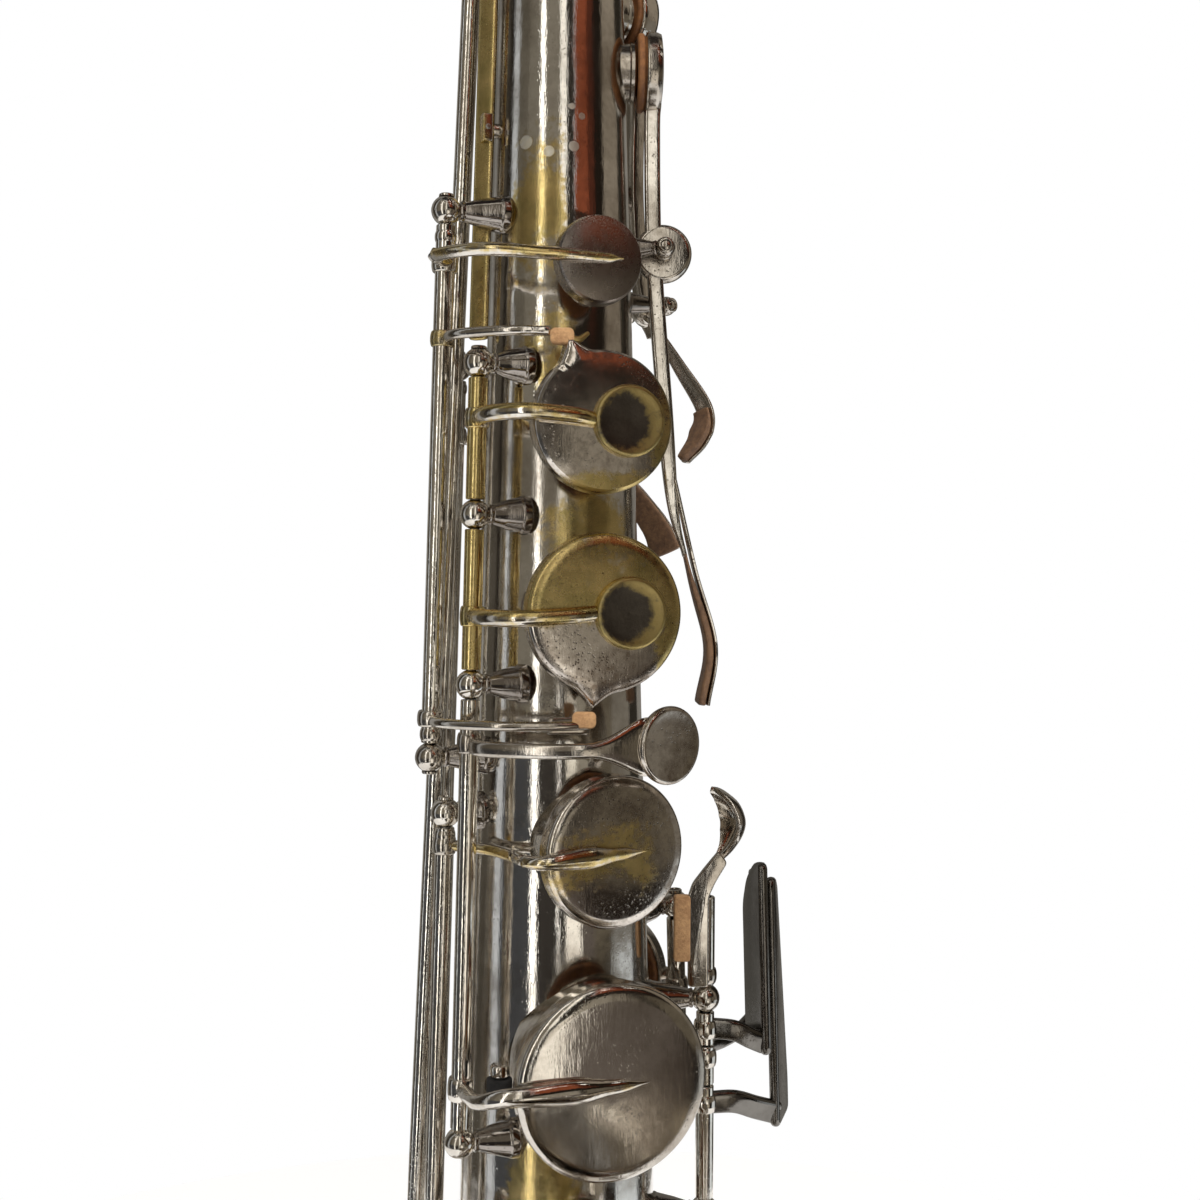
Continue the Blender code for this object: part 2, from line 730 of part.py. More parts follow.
def stack_arm(hole, height, tip, start=ARM_RADIUS, end=ARM_RADIUS):
    # An arm from the stack's hinge line, up beside the cup and over its dome to a tip.
    tube = STACK.at(height)
    side = tube.dot(hole.across)
    middle = (height + hole.centre.z) / 2
    points = [tube + hole.out * (BORE_RADIUS + 0.45), hole.at(side + 0.6, hole.top - 8.0, height),
              hole.at(-hole.cup - 2.4, hole.top - 0.3, height),
              hole.at(-hole.cup * 0.5, hole.top + 1.2, middle), cup_top(hole), tip]
    return arm(points, start, end)


def finger_key(sax, name, ends, arm_height, tab=None):
    # One of the keys that a finger presses: round arm, cup, and a touch set to the right on it.
    hole = HOLES[name]
    touch_at = cup_top(hole, 0.2) + hole.across * TOUCH_SHIFT
    shapes = [stack_arm(hole, arm_height, touch_at, 1.7, 1.5), hollow_cup(hole)]
    shapes.append(touch_disc(touch_at, hole.out))
    if tab:
        shapes.append(tab)
    key(sax, name + "_key", STACK, ends, shapes, -STACK_OPEN, [(name + "_pad", hole)])


def build_upper_stack(sax):
    b_tab = bent_plate([(-2.2, -4.0), (2.2, -4.0), (1.8, 6.6), (-1.8, 6.6)], beside_body(-14.0, 11.2, 58.0),
                       Vector((0.96, -0.25, 0)), Vector((0, 0, 1)), 1.6)
    finger_key(sax, "b", (24.1, 53.4), 41.0, b_tab)
    a_tab = bent_plate([(-2.4, -3.4), (2.4, -3.4), (2.6, 2.1), (-2.6, 2.1)], beside_body(-6.0, 7.6, -23.0),
                       Vector((0.99, -0.1, 0)), Vector((0, 0, 1)), 1.6)
    finger_key(sax, "a", (-16.9, 16.9), -4.0, a_tab)


def build_g_key(sax):
    hole = HOLES["g"]
    touch_at = beside_body(27.0, 14.0, -34.0)
    touch_arm = arm([from_tube(STACK, -34.5, -40.0, 15.0), *beside((-45.0, 15.0, -34.5)),
                     *beside((-12.0, 15.5, -34.3)), touch_at], 1.6, 1.5)
    cup_arm = stack_arm(hole, -115.0, cup_top(hole, 0.4) + hole.across * 9.0, 2.0, 1.0)
    touch = touch_disc(touch_at, outward(27.0), 9.3)
    key(sax, "g_key", STACK, (-127.4, -24.1), [touch_arm, touch, cup_arm, hollow_cup(hole)], -STACK_OPEN,
        [("g_pad", hole)])


def side_touch(angle, height, off=17.5):
    # A long rounded plate that lies beside the body, for the side of the hand.
    centre = beside_body(angle, off, height)
    return bent_plate(rounded(9.5, 20.0, 3.5), centre, tangent(angle), Vector((0, 0, 1)), 2.0)


def side_key(sax, name, line, ends, hole, arm_points, touch, pads=(), bored=False):
    # A long side key: cup at the top, touch for the right hand at the bottom.
    touch_angle, touch_height = touch
    touch_arm = arm([from_tube(line, touch_height, line.angle + 14.0, 20.0),
                     *beside((line.angle + 7.0, 15.5, touch_height)),
                     *beside((touch_angle - 8.0, 17.0, touch_height), (touch_angle, 17.3, touch_height))])
    cup = hollow_cup(hole) if pads else filled_cup(hole)
    plate = side_touch(touch_angle, touch_height)
    key(sax, name, line, ends, [cup, arm(arm_points, 1.4, 1.1), touch_arm, plate], 0.0, pads, bored=bored)


def build_side_keys(sax):
    bb = HOLES["bb"]
    bb_points = [from_tube(SIDE_BB, -61.0, -60.0, 1.0), *beside((-62.0, 3.6, -61.0)),
                 bb.at(-bb.cup - 3.2, bb.top - 14.0, -61.0), bb.at(-bb.cup - 2.2, bb.top - 1.5, -60.5),
                 bb.at(-bb.cup * 0.5, bb.top + 1.0, -60.0), cup_top(bb), cup_top(bb, 0.4) + bb.across * 8.0]
    side_key(sax, "side_bb_key", SIDE_BB, (-228.4, -56.6), bb, bb_points, (-66.0, -217.0),
             [("side_bb_pad", bb)], True)
    high_e = HOLES["side_e"]
    e_points = [from_tube(SIDE_E, 170.0, -140.0, 14.0), *beside((-125.0, 12.0, 170.0)),
                *beside((-140.0, 11.5, 170.0)), cup_top(high_e)]
    side_key(sax, "side_e_key", SIDE_E, (-182.4, 180.4), high_e, e_points, (-76.0, -171.0))
    side_c = HOLES["side_c"]
    c_points = [from_tube(SIDE_C, 42.0, -155.0, 14.0), *beside((-142.0, 12.5, 42.0), (-158.0, 11.5, 42.0)),
                cup_top(side_c)]
    side_key(sax, "side_c_key", SIDE_C, (-205.4, 56.4), side_c, c_points, (-82.0, -194.0))


def palm_key(sax, name, bar, touch, touch_widths, boss, pads=()):
    # A palm key rocks on its short tube: the cup is above the hinge and the curved touch below it.
    # Bar and touch are given as (angle round the body, distance from its axis, height).
    hole = HOLES[name]
    up = hole.out
    stem = [cup_top(hole)] + [polar(*place) for place in bar]
    spoon = [polar(*place) for place in touch]
    cup = hollow_cup(hole) if pads else filled_cup(hole)
    line = PALM_LINES[name]
    shapes = [cup, flat_bar(stem, (1.8, 1.8), 1.9, up), flat_bar(spoon, touch_widths, 1.2, up)]
    shapes.append(rod(line.at(-1.9), line.at(1.9), boss, 18))
    key(sax, name + "_key", line, (-4.4, 4.4), shapes, 0.0, pads, bored=False)


def build_palm_keys(sax):
    palm_key(sax, "palm_d",
             [(70.0, 26.8, 127.0), (70.0, 23.2, 119.0), (70.0, 24.0, 88.0), (70.0, 26.5, 55.0),
              (70.0, 29.1, 25.0)],
             [(70.0, 28.8, 30.0), (70.0, 34.7, 6.0), (70.0, 40.6, -14.0), (70.0, 39.6, -27.0)],
             (2.2, 6.0), 7.4, [("palm_d_pad", HOLES["palm_d"])])
    palm_key(sax, "palm_eb",
             [(106.0, 24.6, 132.0), (106.0, 24.6, 105.0), (106.0, 27.2, 79.0), (105.0, 30.5, 70.0)],
             [(105.0, 29.6, 73.0), (100.0, 37.5, 62.0), (95.0, 44.4, 50.0), (94.0, 42.5, 43.0),
              (94.0, 38.0, 39.0)], (2.0, 5.5), 4.6)
    palm_key(sax, "palm_f",
             [(140.0, 23.6, 150.0), (140.0, 24.8, 108.0), (140.0, 26.0, 70.0), (138.0, 27.5, 46.0)],
             [(139.0, 26.8, 52.0), (131.0, 30.0, 34.0), (116.0, 34.5, 22.0), (103.0, 37.5, 12.0),
              (97.0, 39.5, 2.0)], (2.0, 4.6), 4.6)


def build_octave_keys(sax):
    pip_height, angle = OCTAVE_PIP
    out = outward(angle)
    ends = [beside_body(angle, OCTAVE_BAR_OFF, height) for height in (65.0, pip_height + 3.0)]
    bar = flat_bar([ends[0], (ends[0] + ends[1]) / 2, ends[1]], (2.4, 2.4), 0.8, out, 1)
    block = bent_plate(rounded(5.6, 7.0, 0.6), beside_body(angle, OCTAVE_BAR_OFF, OCTAVE_FULCRUM),
                       tangent(angle), Vector((0, 0, 1)), 2.6)
    pad = rod(beside_body(angle, 1.6, pip_height), beside_body(angle, OCTAVE_BAR_OFF, pip_height), 3.1)
    pivot = beside_body(angle, OCTAVE_BAR_OFF - 1.3, OCTAVE_FULCRUM)
    sax.place("body_octave_key", fuse(bar, block, pad), "silver", pivot)
    angle, reach, height = OCTAVE_PLACE
    thumb = flat_bar([polar(angle, reach - 2.0, height - 2.0), polar(angle, reach + 1.0, height - 12.0),
                      polar(angle, reach + 2.0, height - 22.0)], (4.0, 6.5), 1.2, outward(angle))
    tail = flat_bar([polar(angle, reach - 1.5, height + 2.0), polar(angle, reach - 1.0, height + 12.0),
                     polar(angle, reach - 1.5, height + 22.0)], (2.0, 1.5), 1.2, outward(angle))
    key(sax, "thumb_octave_lever", OCTAVE_LINE, (-4.4, 4.4), [thumb, tail], bored=False)


def table_point(reach, back, height):
    # A place by the little finger's table: distance from the body's axis, distance back, height.
    return outward(TABLE_ANGLE) * reach + tangent(TABLE_ANGLE) * back + Vector((0, 0, height))


def table_plate(near, slant, outline):
    # A finger plate: the middle of its near edge as (reach, back, height), and its turn in degrees.
    turn = math.radians(slant)
    across = tangent(TABLE_ANGLE) * math.cos(turn) - outward(TABLE_ANGLE) * math.sin(turn)
    lean = (Vector((0, 0, 1)) - outward(TABLE_ANGLE) * TABLE_LEAN).normalized()
    return bent_plate(outline, table_point(*near), across, lean, TABLE_THICK)


def build_table_levers(sax):
    # Plates of the little finger's table, each on an arm from its own tube, one behind the other.
    sharp = table_plate((54.3, 0.0, -94.5), 11.0,
                        [(0.0, -23.5), (2.0, -25.5), (13.0, -25.5), (15.0, -23.5), (15.0, 13.0), (11.0, 20.5),
                         (5.0, 24.8), (1.5, 25.5), (0.0, 24.0)])
    sharp_arm = flat_bar([table_point(TABLE_REACH + 1.95, 0.0, -112.0), table_point(46.0, -0.3, -112.6),
                          table_point(50.5, 0.8, -115.0), table_point(54.2, 2.4, -117.0)],
                         (2.6, 2.6), 1.3, tangent(TABLE_ANGLE))
    key(sax, "low_cs_lever", TABLE, (-116.0, -107.6), [sharp, sharp_arm])
    middle = table_plate((54.8, 22.0, -100.0), -8.0, [(u + 7.5, v) for u, v in rounded(15.0, 44.0, 4.0)])
    middle_arm = arm([table_point(TABLE_REACH, 1.95, -119.5), table_point(40.2, 8.5, -120.0),
                      table_point(45.2, 16.0, -121.0), table_point(50.0, 21.5, -120.5),
                      table_point(55.6, 26.0, -117.0)], 1.6, 1.6)
    key(sax, "low_b_lever", TABLE, (-126.4, -116.5), [middle, middle_arm])
    flat = table_plate((56.85, 6.0, -108.0), -20.0,
                       [(0.0, -31.5), (2.0, -33.5), (13.0, -33.5), (15.0, -31.5), (15.0, -24.0), (6.0, 32.0),
                        (4.0, 33.5), (1.5, 33.5), (0.0, 32.0)])
    flat_arm = flat_bar([table_point(TABLE_REACH + 1.95, 0.0, -131.5), table_point(46.5, 1.0, -131.8),
                         table_point(52.5, 4.0, -134.6), table_point(58.2, 8.0, -137.5)],
                        (2.8, 3.1), 1.3, tangent(TABLE_ANGLE))
    key(sax, "low_bb_lever", TABLE, (-156.4, -127.0), [flat, flat_arm])


def build_table(sax):
    spoon = [(33.6, -100.0), (38.8, -100.0), (38.8, -76.5), (43.0, -68.5), (46.6, -63.0), (47.8, -58.0),
             (46.2, -53.0), (41.2, -49.0), (39.6, -50.2), (42.6, -54.5), (43.6, -59.0), (40.8, -65.5),
             (35.6, -71.5), (33.6, -76.0)]
    base = tangent(TABLE_ANGLE) * -2.7
    plate = bent_plate(spoon, base, outward(TABLE_ANGLE), Vector((0, 0, 1)), 2.0)
    cork = bent_plate(rounded(4.2, 17.0, 0.8), base + table_point(32.0, 0.0, -85.0), outward(TABLE_ANGLE),
                      Vector((0, 0, 1)), 2.8)
    key(sax, "g_sharp_lever", TABLE, (-100.4, -77.5), [plate, cork])
    build_table_levers(sax)
    hole = HOLES["gs"]
    cup_arm = arm([from_tube(G_SHARP_LINE, -104.0, 112.0, 16.0), *beside((104.0, 13.5, -104.0)),
                   *beside((117.0, 12.5, -104.0)), cup_top(hole)])
    key(sax, "g_sharp_key", G_SHARP_LINE, (-122.4, -85.6), [cup_arm, filled_cup(hole)], bored=False)


def lower_finger_key(sax, name, ends, touched):
    hole = HOLES[name]
    touch_at = cup_top(hole, 0.2) + hole.across * TOUCH_SHIFT
    shapes = [stack_arm(hole, hole.centre.z, touch_at), filled_cup(hole)]
    if touched:
        shapes.append(touch_disc(touch_at, hole.out))
    key(sax, name + "_key", STACK, ends, shapes, -STACK_OPEN)


def build_lower_stack(sax):
    lower_finger_key(sax, "fs", (-182.4, -155.6), False)
    lower_finger_key(sax, "f", (-227.4, -189.6), True)
    lower_finger_key(sax, "e", (-273.4, -234.6), True)
    lower_finger_key(sax, "d", (-319.4, -280.6), True)


def build_low_keys(sax):
    left = Vector((-1, 0, 0))
    low_eb = BOW_HOLES["low_eb"]
    hinge = LOW_EB_LINE.at(6.5)
    cup_arm = arm([hinge - Vector((0, 0, 2.2)), hinge + Vector((0, -1, -14)), cup_top(low_eb)], upright=left)
    pinky = Vector((-58.0, -28.0, -298.0))
    touch_arm = arm([hinge + Vector((-1.0, 0.0, 1.5)), hinge + Vector((-7, -12, 8)), pinky], upright=left)
    plate = bent_plate(rounded(11.0, 16.0, 3.5), pinky, Vector((0, 1, 0)), Vector((0, 0, 1)), 2.0)
    key(sax, "low_eb_key", LOW_EB_LINE, (3.6, 20.4), [cup_arm, touch_arm, plate, filled_cup(low_eb)],
        bored=False)
    low_c = BOW_HOLES["low_c"]
    hinge = LOW_C_LINE.at(-312.0)
    cup_arm = arm([hinge + Vector((-0.6, -1.8, 0)), hinge + Vector((-2, -14, -14)),
                   hinge + Vector((0, -28, -45)), cup_top(low_c)], upright=left)
    pinky = Vector((-57.0, -51.0, -297.0))
    touch_arm = arm([LOW_C_LINE.at(-297.0) + Vector((-0.8, -1.8, 0)), pinky + Vector((1, 8, 0)), pinky],
                    upright=Vector((0, 0, 1)))
    plate = bent_plate(rounded(12.0, 16.0, 3.5), pinky, Vector((0, 1, 0)), Vector((0, 0, 1)), 2.0)
    key(sax, "low_c_key", LOW_C_LINE, (-314.4, -286.6), [cup_arm, touch_arm, plate, filled_cup(low_c)],
        -LOW_OPEN, bored=False)


def bell_key(sax, name, line, ends, turn):
    hole = BELL_HOLES[name]
    side = 1.0 if hole.out.x > 0 else -1.0
    start = line.at(hole.centre.z)
    towards = Vector((-hole.out.y, hole.out.x, 0.0)) * side
    edge = cup_top(hole) + towards * (hole.cup + 2.5)
    points = [start + Vector((side * 0.9, -1.7, 0)), (start + edge) / 2 + hole.out * 3.0, edge, cup_top(hole)]
    key(sax, name + "_key", line, ends, [arm(points, 2.0, 1.8), filled_cup(hole)], turn, bored=False)


def build_bell_keys(sax):
    bell_key(sax, "low_b", BELL_RIGHT, (-314.4, -265.6), LOW_OPEN)
    bell_key(sax, "low_bb", BELL_RIGHT, (-258.4, -209.6), LOW_OPEN)
    bell_key(sax, "low_cs", BELL_LEFT, (-306.4, -243.6), 0.0)


def build_fittings(sax):
    back = Vector((0, 1, 0))
    up = Vector((0, 0, 1))
    brace_height = -225.0
    bell_side = Vector((0.62, 0.785, 0.0)).normalized()
    points = [beside_body(62.0, 1.5, brace_height), Vector((37.0, -40.0, brace_height)),
              bell_centre(brace_height) + bell_side * (bell_radius(bell_share(brace_height)) + 1.6)]
    sax.place("bell_brace", arm(points, 3.0, 3.0, 4), "silver")

    skin = body_radius(THUMB_HOOK_HEIGHT)
    centre = Vector((0, skin, THUMB_HOOK_HEIGHT))
    base = bent_plate(rounded(11.0, 26.0, 4.0), centre + back * 1.6, Vector((1, 0, 0)), up, 2.4)
    hook = flat_bar([centre + back * 2.2, centre + Vector((0, 12, 2)), centre + Vector((0, 21, -4)),
                     centre + Vector((0, 23, -15))], (5.0, 6.0), 1.5, up)
    sax.place("thumb_hook", fuse(base, hook), "silver")

    rest = beside_body(THUMB_REST[0], 0.4, THUMB_REST[1])
    dome = [(0.0, 0.0), (7.0, 0.0), (7.5, 1.2), (6.0, 2.8), (0.0, 3.6)]
    sax.place("thumb_rest", lathe(dome, 20, rest, outward(THUMB_REST[0])), "brass")

    foot = Vector((0, body_radius(STRAP_RING.z) + 0.4, STRAP_RING.z))
    ring = lathe([(RING_INNER, -1.6), (RING_OUTER, -1.6), (RING_OUTER, 1.6), (RING_INNER, 1.6)], 24,
                 STRAP_RING, Vector((1, 0, 0)))
    stem = lathe([(0.0, 0.0), (5.5, 0.0), (5.5, 1.6), (2.4, 3.2), (2.4, 7.2), (0.0, 7.2)], 16, foot, back)
    sax.place("strap_ring", fuse(ring, stem), "silver")

    lug = beside_body(180.0, LUG_OFF, LUG_HEIGHT)
    side = Vector((1, 0, 0))
    shank = rod(lug - side * 6.0, lug + side * 8.0, CLAMP_BORE - GAP)
    wing = bent_plate(rounded(9.0, 8.0, 3.0), lug + side * 10.5, side, up, 2.4)
    sax.place("neck_clamp_screw", fuse(shank, wing), "brass", lug)


def neck_path(extra):
    points = [Vector((0, y, z)) for y, z in NECK_LINE] + [NECK_END]
    path = curve_through(points, 2)
    radii = [TENON_RADIUS] * 4 + even(path[4:], TENON_RADIUS, TIP_RADIUS)
    path.append(NECK_END + NECK_AIM * NECK_STRAIGHT)
    radii.append(TIP_RADIUS)
    if extra:
        path = [path[0] - Vector((0, 0, extra)), *path, path[-1] + NECK_AIM * extra]
        radii = [radii[0], *radii, radii[-1]]
    return path, radii


def along_neck(distance, lift=0.0):
    return NECK_END + NECK_AIM * distance + NECK_UP * lift


def build_neck(sax):
    side = Vector((1, 0, 0))
    path, radii = neck_path(0.0)
    neck = sweep(path, radii, radii, side, NECK_SIDES)
    collar = rod(Vector((0, 0, BODY_TOP + GAP)), Vector((0, 0, BODY_TOP + 5)), TENON_RADIUS + 2.6, NECK_SIDES)
    posts = [post(OCTAVE_SADDLE + side * x, OCTAVE_SADDLE + Vector((x * 0.8, 0.5, -10.0)))
             for x in (-7.4, 7.4)]
    pip = rod(OCTAVE_SADDLE + Vector((0, 32, -10)), OCTAVE_SADDLE + Vector((0, 32, -3.4)), 2.4)
    neck = fuse(neck, collar, pip, *posts)
    path, radii = neck_path(3.0)
    inner = [radius - WALL for radius in radii]
    socket = Vector((0, 0, BODY_TOP))
    sax.place("neck_tube", cut(neck, [sweep(path, inner, inner, side, NECK_SIDES)]), "silver", socket)

    cork = pipe(along_neck(6.0), along_neck(NECK_STRAIGHT - 2), 8.3, TIP_RADIUS + 2 * GAP, NECK_SIDES)
    sax.place("neck_cork", cork, "cork", socket)

    saddle = OCTAVE_SADDLE
    pad_end = flat_bar([saddle + Vector((0, 1.8, 0.6)), saddle + Vector((0, 16, 2)),
                        saddle + Vector((0, 34, 0.5))], (2.4, 3.0), 1.2, Vector((0, 0, 1)))
    pad = rod(saddle + Vector((0, 32, -3.0)), saddle + Vector((0, 32, 0.8)), 3.4)
    loop = flat_bar([saddle + Vector((0, -1.9, 0.4)), saddle + Vector((0, -18, -3)),
                     saddle + Vector((0, -43, -23)), saddle + Vector((0, -62, -52)),
                     saddle + Vector((0, -71, -83))], (2.2, 2.6), 1.2, Vector((0, -0.5, 0.8)))
    line = FreeLine(saddle, side)
    key(sax, "neck_octave_key", line, (-3.8, 3.8), [pad_end, pad, loop], bored=False)


def build_mouthpiece(sax):
    side = Vector((1, 0, 0))
    shank = [(8.7, 0.0), (11.4, 0.0), (11.8, 2.0), (12.4, 36.0), (12.0, 58.0), (9.6, 92.0), (8.0, 95.0)]
    bore = [(3.0, 95.0), (4.0, 60.0), (6.0, 36.0), (8.7, 34.0)]
    body = lathe(shank + bore, 20, along_neck(MOUTHPIECE_ON), NECK_AIM)
    beak = bent_plate([(40.0, 16.0), (97.0, 16.0), (97.0, -7.4), (95.5, -7.4), (52.0, 12.6)],
                      along_neck(MOUTHPIECE_ON), NECK_AIM, NECK_UP, 40.0)
    table = bent_plate([(30.0, -20.0), (97.0, -20.0), (97.0, -9.3), (30.0, -9.3)],
                       along_neck(MOUTHPIECE_ON), NECK_AIM, NECK_UP, 40.0)
    sax.place("mouthpiece", cut(body, [beak, table]), "ebonite", along_neck(MOUTHPIECE_ON))

    blade = [(32.0, -9.6), (95.0, -9.6), (95.0, -10.0), (66.0, -12.2), (32.0, -12.2)]
    reed = bent_plate(blade, along_neck(MOUTHPIECE_ON), NECK_AIM, NECK_UP, 14.5)
    sax.place("reed", reed, "cane", along_neck(MOUTHPIECE_ON))

    low = along_neck(MOUTHPIECE_ON + 38.0, LIGATURE_DROP)
    band = pipe(low, low + NECK_AIM * 20.0, LIGATURE_RADIUS + 1.0, LIGATURE_RADIUS, 20)
    ear_at = along_neck(MOUTHPIECE_ON + 48.0, LIGATURE_DROP - LIGATURE_RADIUS - 4.2)
    ear = bent_plate(rounded(14.0, 8.0, 1.5), ear_at, NECK_AIM, NECK_UP, 7.0)
    screw_at = along_neck(MOUTHPIECE_ON + 48.0, LIGATURE_SCREW_DROP)
    hole = rod(screw_at - side * 6, screw_at + side * 6, CLAMP_BORE, 10)
    sax.place("ligature", cut(fuse(band, ear), [hole]), "brass", along_neck(MOUTHPIECE_ON))
    shank = rod(screw_at - side * 5, screw_at + side * 8, CLAMP_BORE - GAP)
    head = rod(screw_at + side * 4.2, screw_at + side * 10.0, 3.4, 12)
    sax.place("ligature_screw", fuse(shank, head), "brass", screw_at)


def build_saxophone():
    clear_scene()
    sax = Saxophone()
    build_body(sax)
    build_bow(sax)
    build_bell(sax)
    build_rods(sax)
    build_c_key(sax)
    build_upper_stack(sax)
    build_g_key(sax)
    build_side_keys(sax)
    build_palm_keys(sax)
    build_octave_keys(sax)
    build_table(sax)
    build_lower_stack(sax)
    build_low_keys(sax)
    build_bell_keys(sax)
    build_fittings(sax)
    build_neck(sax)
    build_mouthpiece(sax)


build_saxophone()
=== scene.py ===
# Worn silver-plated tenor saxophone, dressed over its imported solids.
import math
import bmesh
import bpy
from mathutils import Matrix, Vector


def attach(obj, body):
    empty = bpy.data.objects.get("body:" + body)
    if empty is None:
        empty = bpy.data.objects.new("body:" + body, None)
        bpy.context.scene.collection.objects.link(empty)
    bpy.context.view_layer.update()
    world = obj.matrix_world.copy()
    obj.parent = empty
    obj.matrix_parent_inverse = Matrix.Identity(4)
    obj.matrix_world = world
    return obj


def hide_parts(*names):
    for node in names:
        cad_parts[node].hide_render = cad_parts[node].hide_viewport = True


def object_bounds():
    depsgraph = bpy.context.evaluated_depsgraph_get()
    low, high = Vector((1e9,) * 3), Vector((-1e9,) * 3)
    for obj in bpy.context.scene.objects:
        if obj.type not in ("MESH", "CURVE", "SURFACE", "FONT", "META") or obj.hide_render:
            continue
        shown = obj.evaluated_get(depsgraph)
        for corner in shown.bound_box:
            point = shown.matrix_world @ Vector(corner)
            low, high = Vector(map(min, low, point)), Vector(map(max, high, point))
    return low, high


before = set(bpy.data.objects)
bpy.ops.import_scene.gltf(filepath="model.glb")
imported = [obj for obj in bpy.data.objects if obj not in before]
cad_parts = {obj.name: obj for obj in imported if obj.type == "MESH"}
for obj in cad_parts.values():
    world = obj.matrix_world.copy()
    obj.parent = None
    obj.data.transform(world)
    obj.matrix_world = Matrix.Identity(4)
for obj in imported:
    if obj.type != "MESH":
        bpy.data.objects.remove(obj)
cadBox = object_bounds()
scene = bpy.context.scene
scene.view_settings.view_transform = "Standard"
up = Vector((0, 0, 1))
toRight = Vector((1, 0, 0))
toBack = Vector((0, 1, 0))
millimetre = 0.001
strapRing = Vector((0.0, 37.5, -140.0))  # the frame's origin, in the tube's own millimetres
print("frame loaded:", len(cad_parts), "nodes")


# places round the tube: angle from the front towards the player's left, in degrees
tubeShape = {"radiusAtZero": 20.5, "taper": 0.03025, "top": 222.0, "bottom": -330.0, "wall": 0.8,
             "sides": 120, "rings": 110}


def tubeRadius(height):
    return tubeShape["radiusAtZero"] - tubeShape["taper"] * height


def polar(angle, radius, height):
    turn = math.radians(angle)
    return Vector((radius * math.sin(turn), -radius * math.cos(turn), height))


def besideTube(angle, off, height):
    return polar(angle, tubeRadius(height) + off, height)


def outward(angle):
    return polar(angle, 1.0, 0.0)


def tangent(angle):
    return outward(angle + 90.0)


def beside(*places):
    return [besideTube(*place) for place in places]


def tubeAngle(point):
    return math.degrees(math.atan2(point.x, -point.y))


def smooth(low, high, value):
    t = min(max((value - low) / (high - low), 0.0), 1.0)
    return t * t * (3.0 - 2.0 * t)


# mesh makers; a shape holds points, faces, how worn each point is, and its finish
def newShape(finish):
    return {"points": [], "faces": [], "wear": [], "finish": finish}


def sideAxes(axis):
    helper = up if abs(axis.z) < 0.9 else toBack
    first = axis.cross(helper).normalized()
    return first, axis.cross(first).normalized()


def fillet(outline, amount, steps=3):
    rounded = [outline[0]]
    for before, corner, after in zip(outline, outline[1:], outline[2:]):
        b, c, a = Vector(before), Vector(corner), Vector(after)
        if (b - c).length < 1e-6 or (a - c).length < 1e-6:
            rounded.append(corner)
            continue
        reach = min(amount, (b - c).length * 0.45, (a - c).length * 0.45)
        start = c + (b - c).normalized() * reach
        end = c + (a - c).normalized() * reach
        for k in range(steps + 1):
            t = k / steps
            rounded.append(tuple(start * (1 - t) ** 2 + c * (2 * t * (1 - t)) + end * (t * t)))
    rounded.append(outline[-1])
    return rounded


def lathe(outline, base, axis, sides=48, wear=0.0, finish="silver", closed=False):
    # turns (radius, height) pairs about an axis; zero radius closes to a point
    axis = axis.normalized()
    first, second = sideAxes(axis)
    shape = newShape(finish)
    rings = []
    for radius, height in outline:
        centre = base + axis * height
        start = len(shape["points"])
        if radius < 1e-6:
            rings.append([start])
            shape["points"].append(centre)
        else:
            rings.append(list(range(start, start + sides)))
            for i in range(sides):
                turn = 2.0 * math.pi * i / sides
                aim = first * math.cos(turn) + second * math.sin(turn)
                shape["points"].append(centre + aim * radius)
    pairs = list(zip(rings, rings[1:]))
    if closed:
        pairs.append((rings[-1], rings[0]))
    for low, high in pairs:
        for i in range(sides):
            j = (i + 1) % sides
            corners = (low[i % len(low)], low[j % len(low)], high[j % len(high)],
                       high[i % len(high)])
            corners = list(dict.fromkeys(corners))
            if len(corners) > 2:
                shape["faces"].append(corners)
    return withWear(shape, wear)


def withWear(shape, wear):
    # wear is a number, or a function of a point
    shape["wear"] = [wear(point) if callable(wear) else wear for point in shape["points"]]
    return shape


def rod(start, end, radius, sides=28, wear=0.0, finish="silver", edge=0.25):
    way = end - start
    outline = [(0.0, 0.0), (radius, 0.0), (radius, way.length), (0.0, way.length)]
    return lathe(fillet(outline, edge), start, way, sides, wear, finish)


def ringAround(radius, steps, base, axis, sides, wear, edge=0.3, **more):
    # a rounded ring; each step is how far it stands out from the radius, and how far along
    outline = [(radius + out, along) for out, along in steps]
    return lathe(fillet(outline, edge), base, axis, sides, wear, **more)


def pipe(start, end, outer, inner, sides=28, wear=0.0, finish="silver"):
    length = (end - start).length
    loop = [(inner, 0.0), (outer - 0.2, 0.0), (outer, 0.2), (outer, length * 0.5),
            (outer, length - 0.2), (outer - 0.2, length), (inner, length)]
    return lathe(loop, start, end - start, sides, wear, finish, closed=True)


def between(a, b, c, d, t):
    # a place on the smooth curve from b to c, with a before it and d after it
    return (b + (c - a) * (t / 2) + (a * 2 - b * 5 + c * 4 - d) * (t * t / 2)
            + (b * 3 - a - c * 3 + d) * (t ** 3 / 2))


def curveThrough(points, steps=8):
    padded = [points[0] * 2 - points[1], *points, points[-1] * 2 - points[-2]]
    path = []
    for i in range(len(points) - 1):
        path += [between(*padded[i:i + 4], k / steps) for k in range(steps)]
    return path + [points[-1]]


def aheadAt(path, i):
    return (path[min(i + 1, len(path) - 1)] - path[max(i - 1, 0)]).normalized()


def joinRings(shape, pairs, sides):
    # quads between rings of the same number of points
    for low, high in pairs:
        for k in range(sides):
            j = (k + 1) % sides
            shape["faces"].append((low * sides + k, low * sides + j, high * sides + j,
                                   high * sides + k))


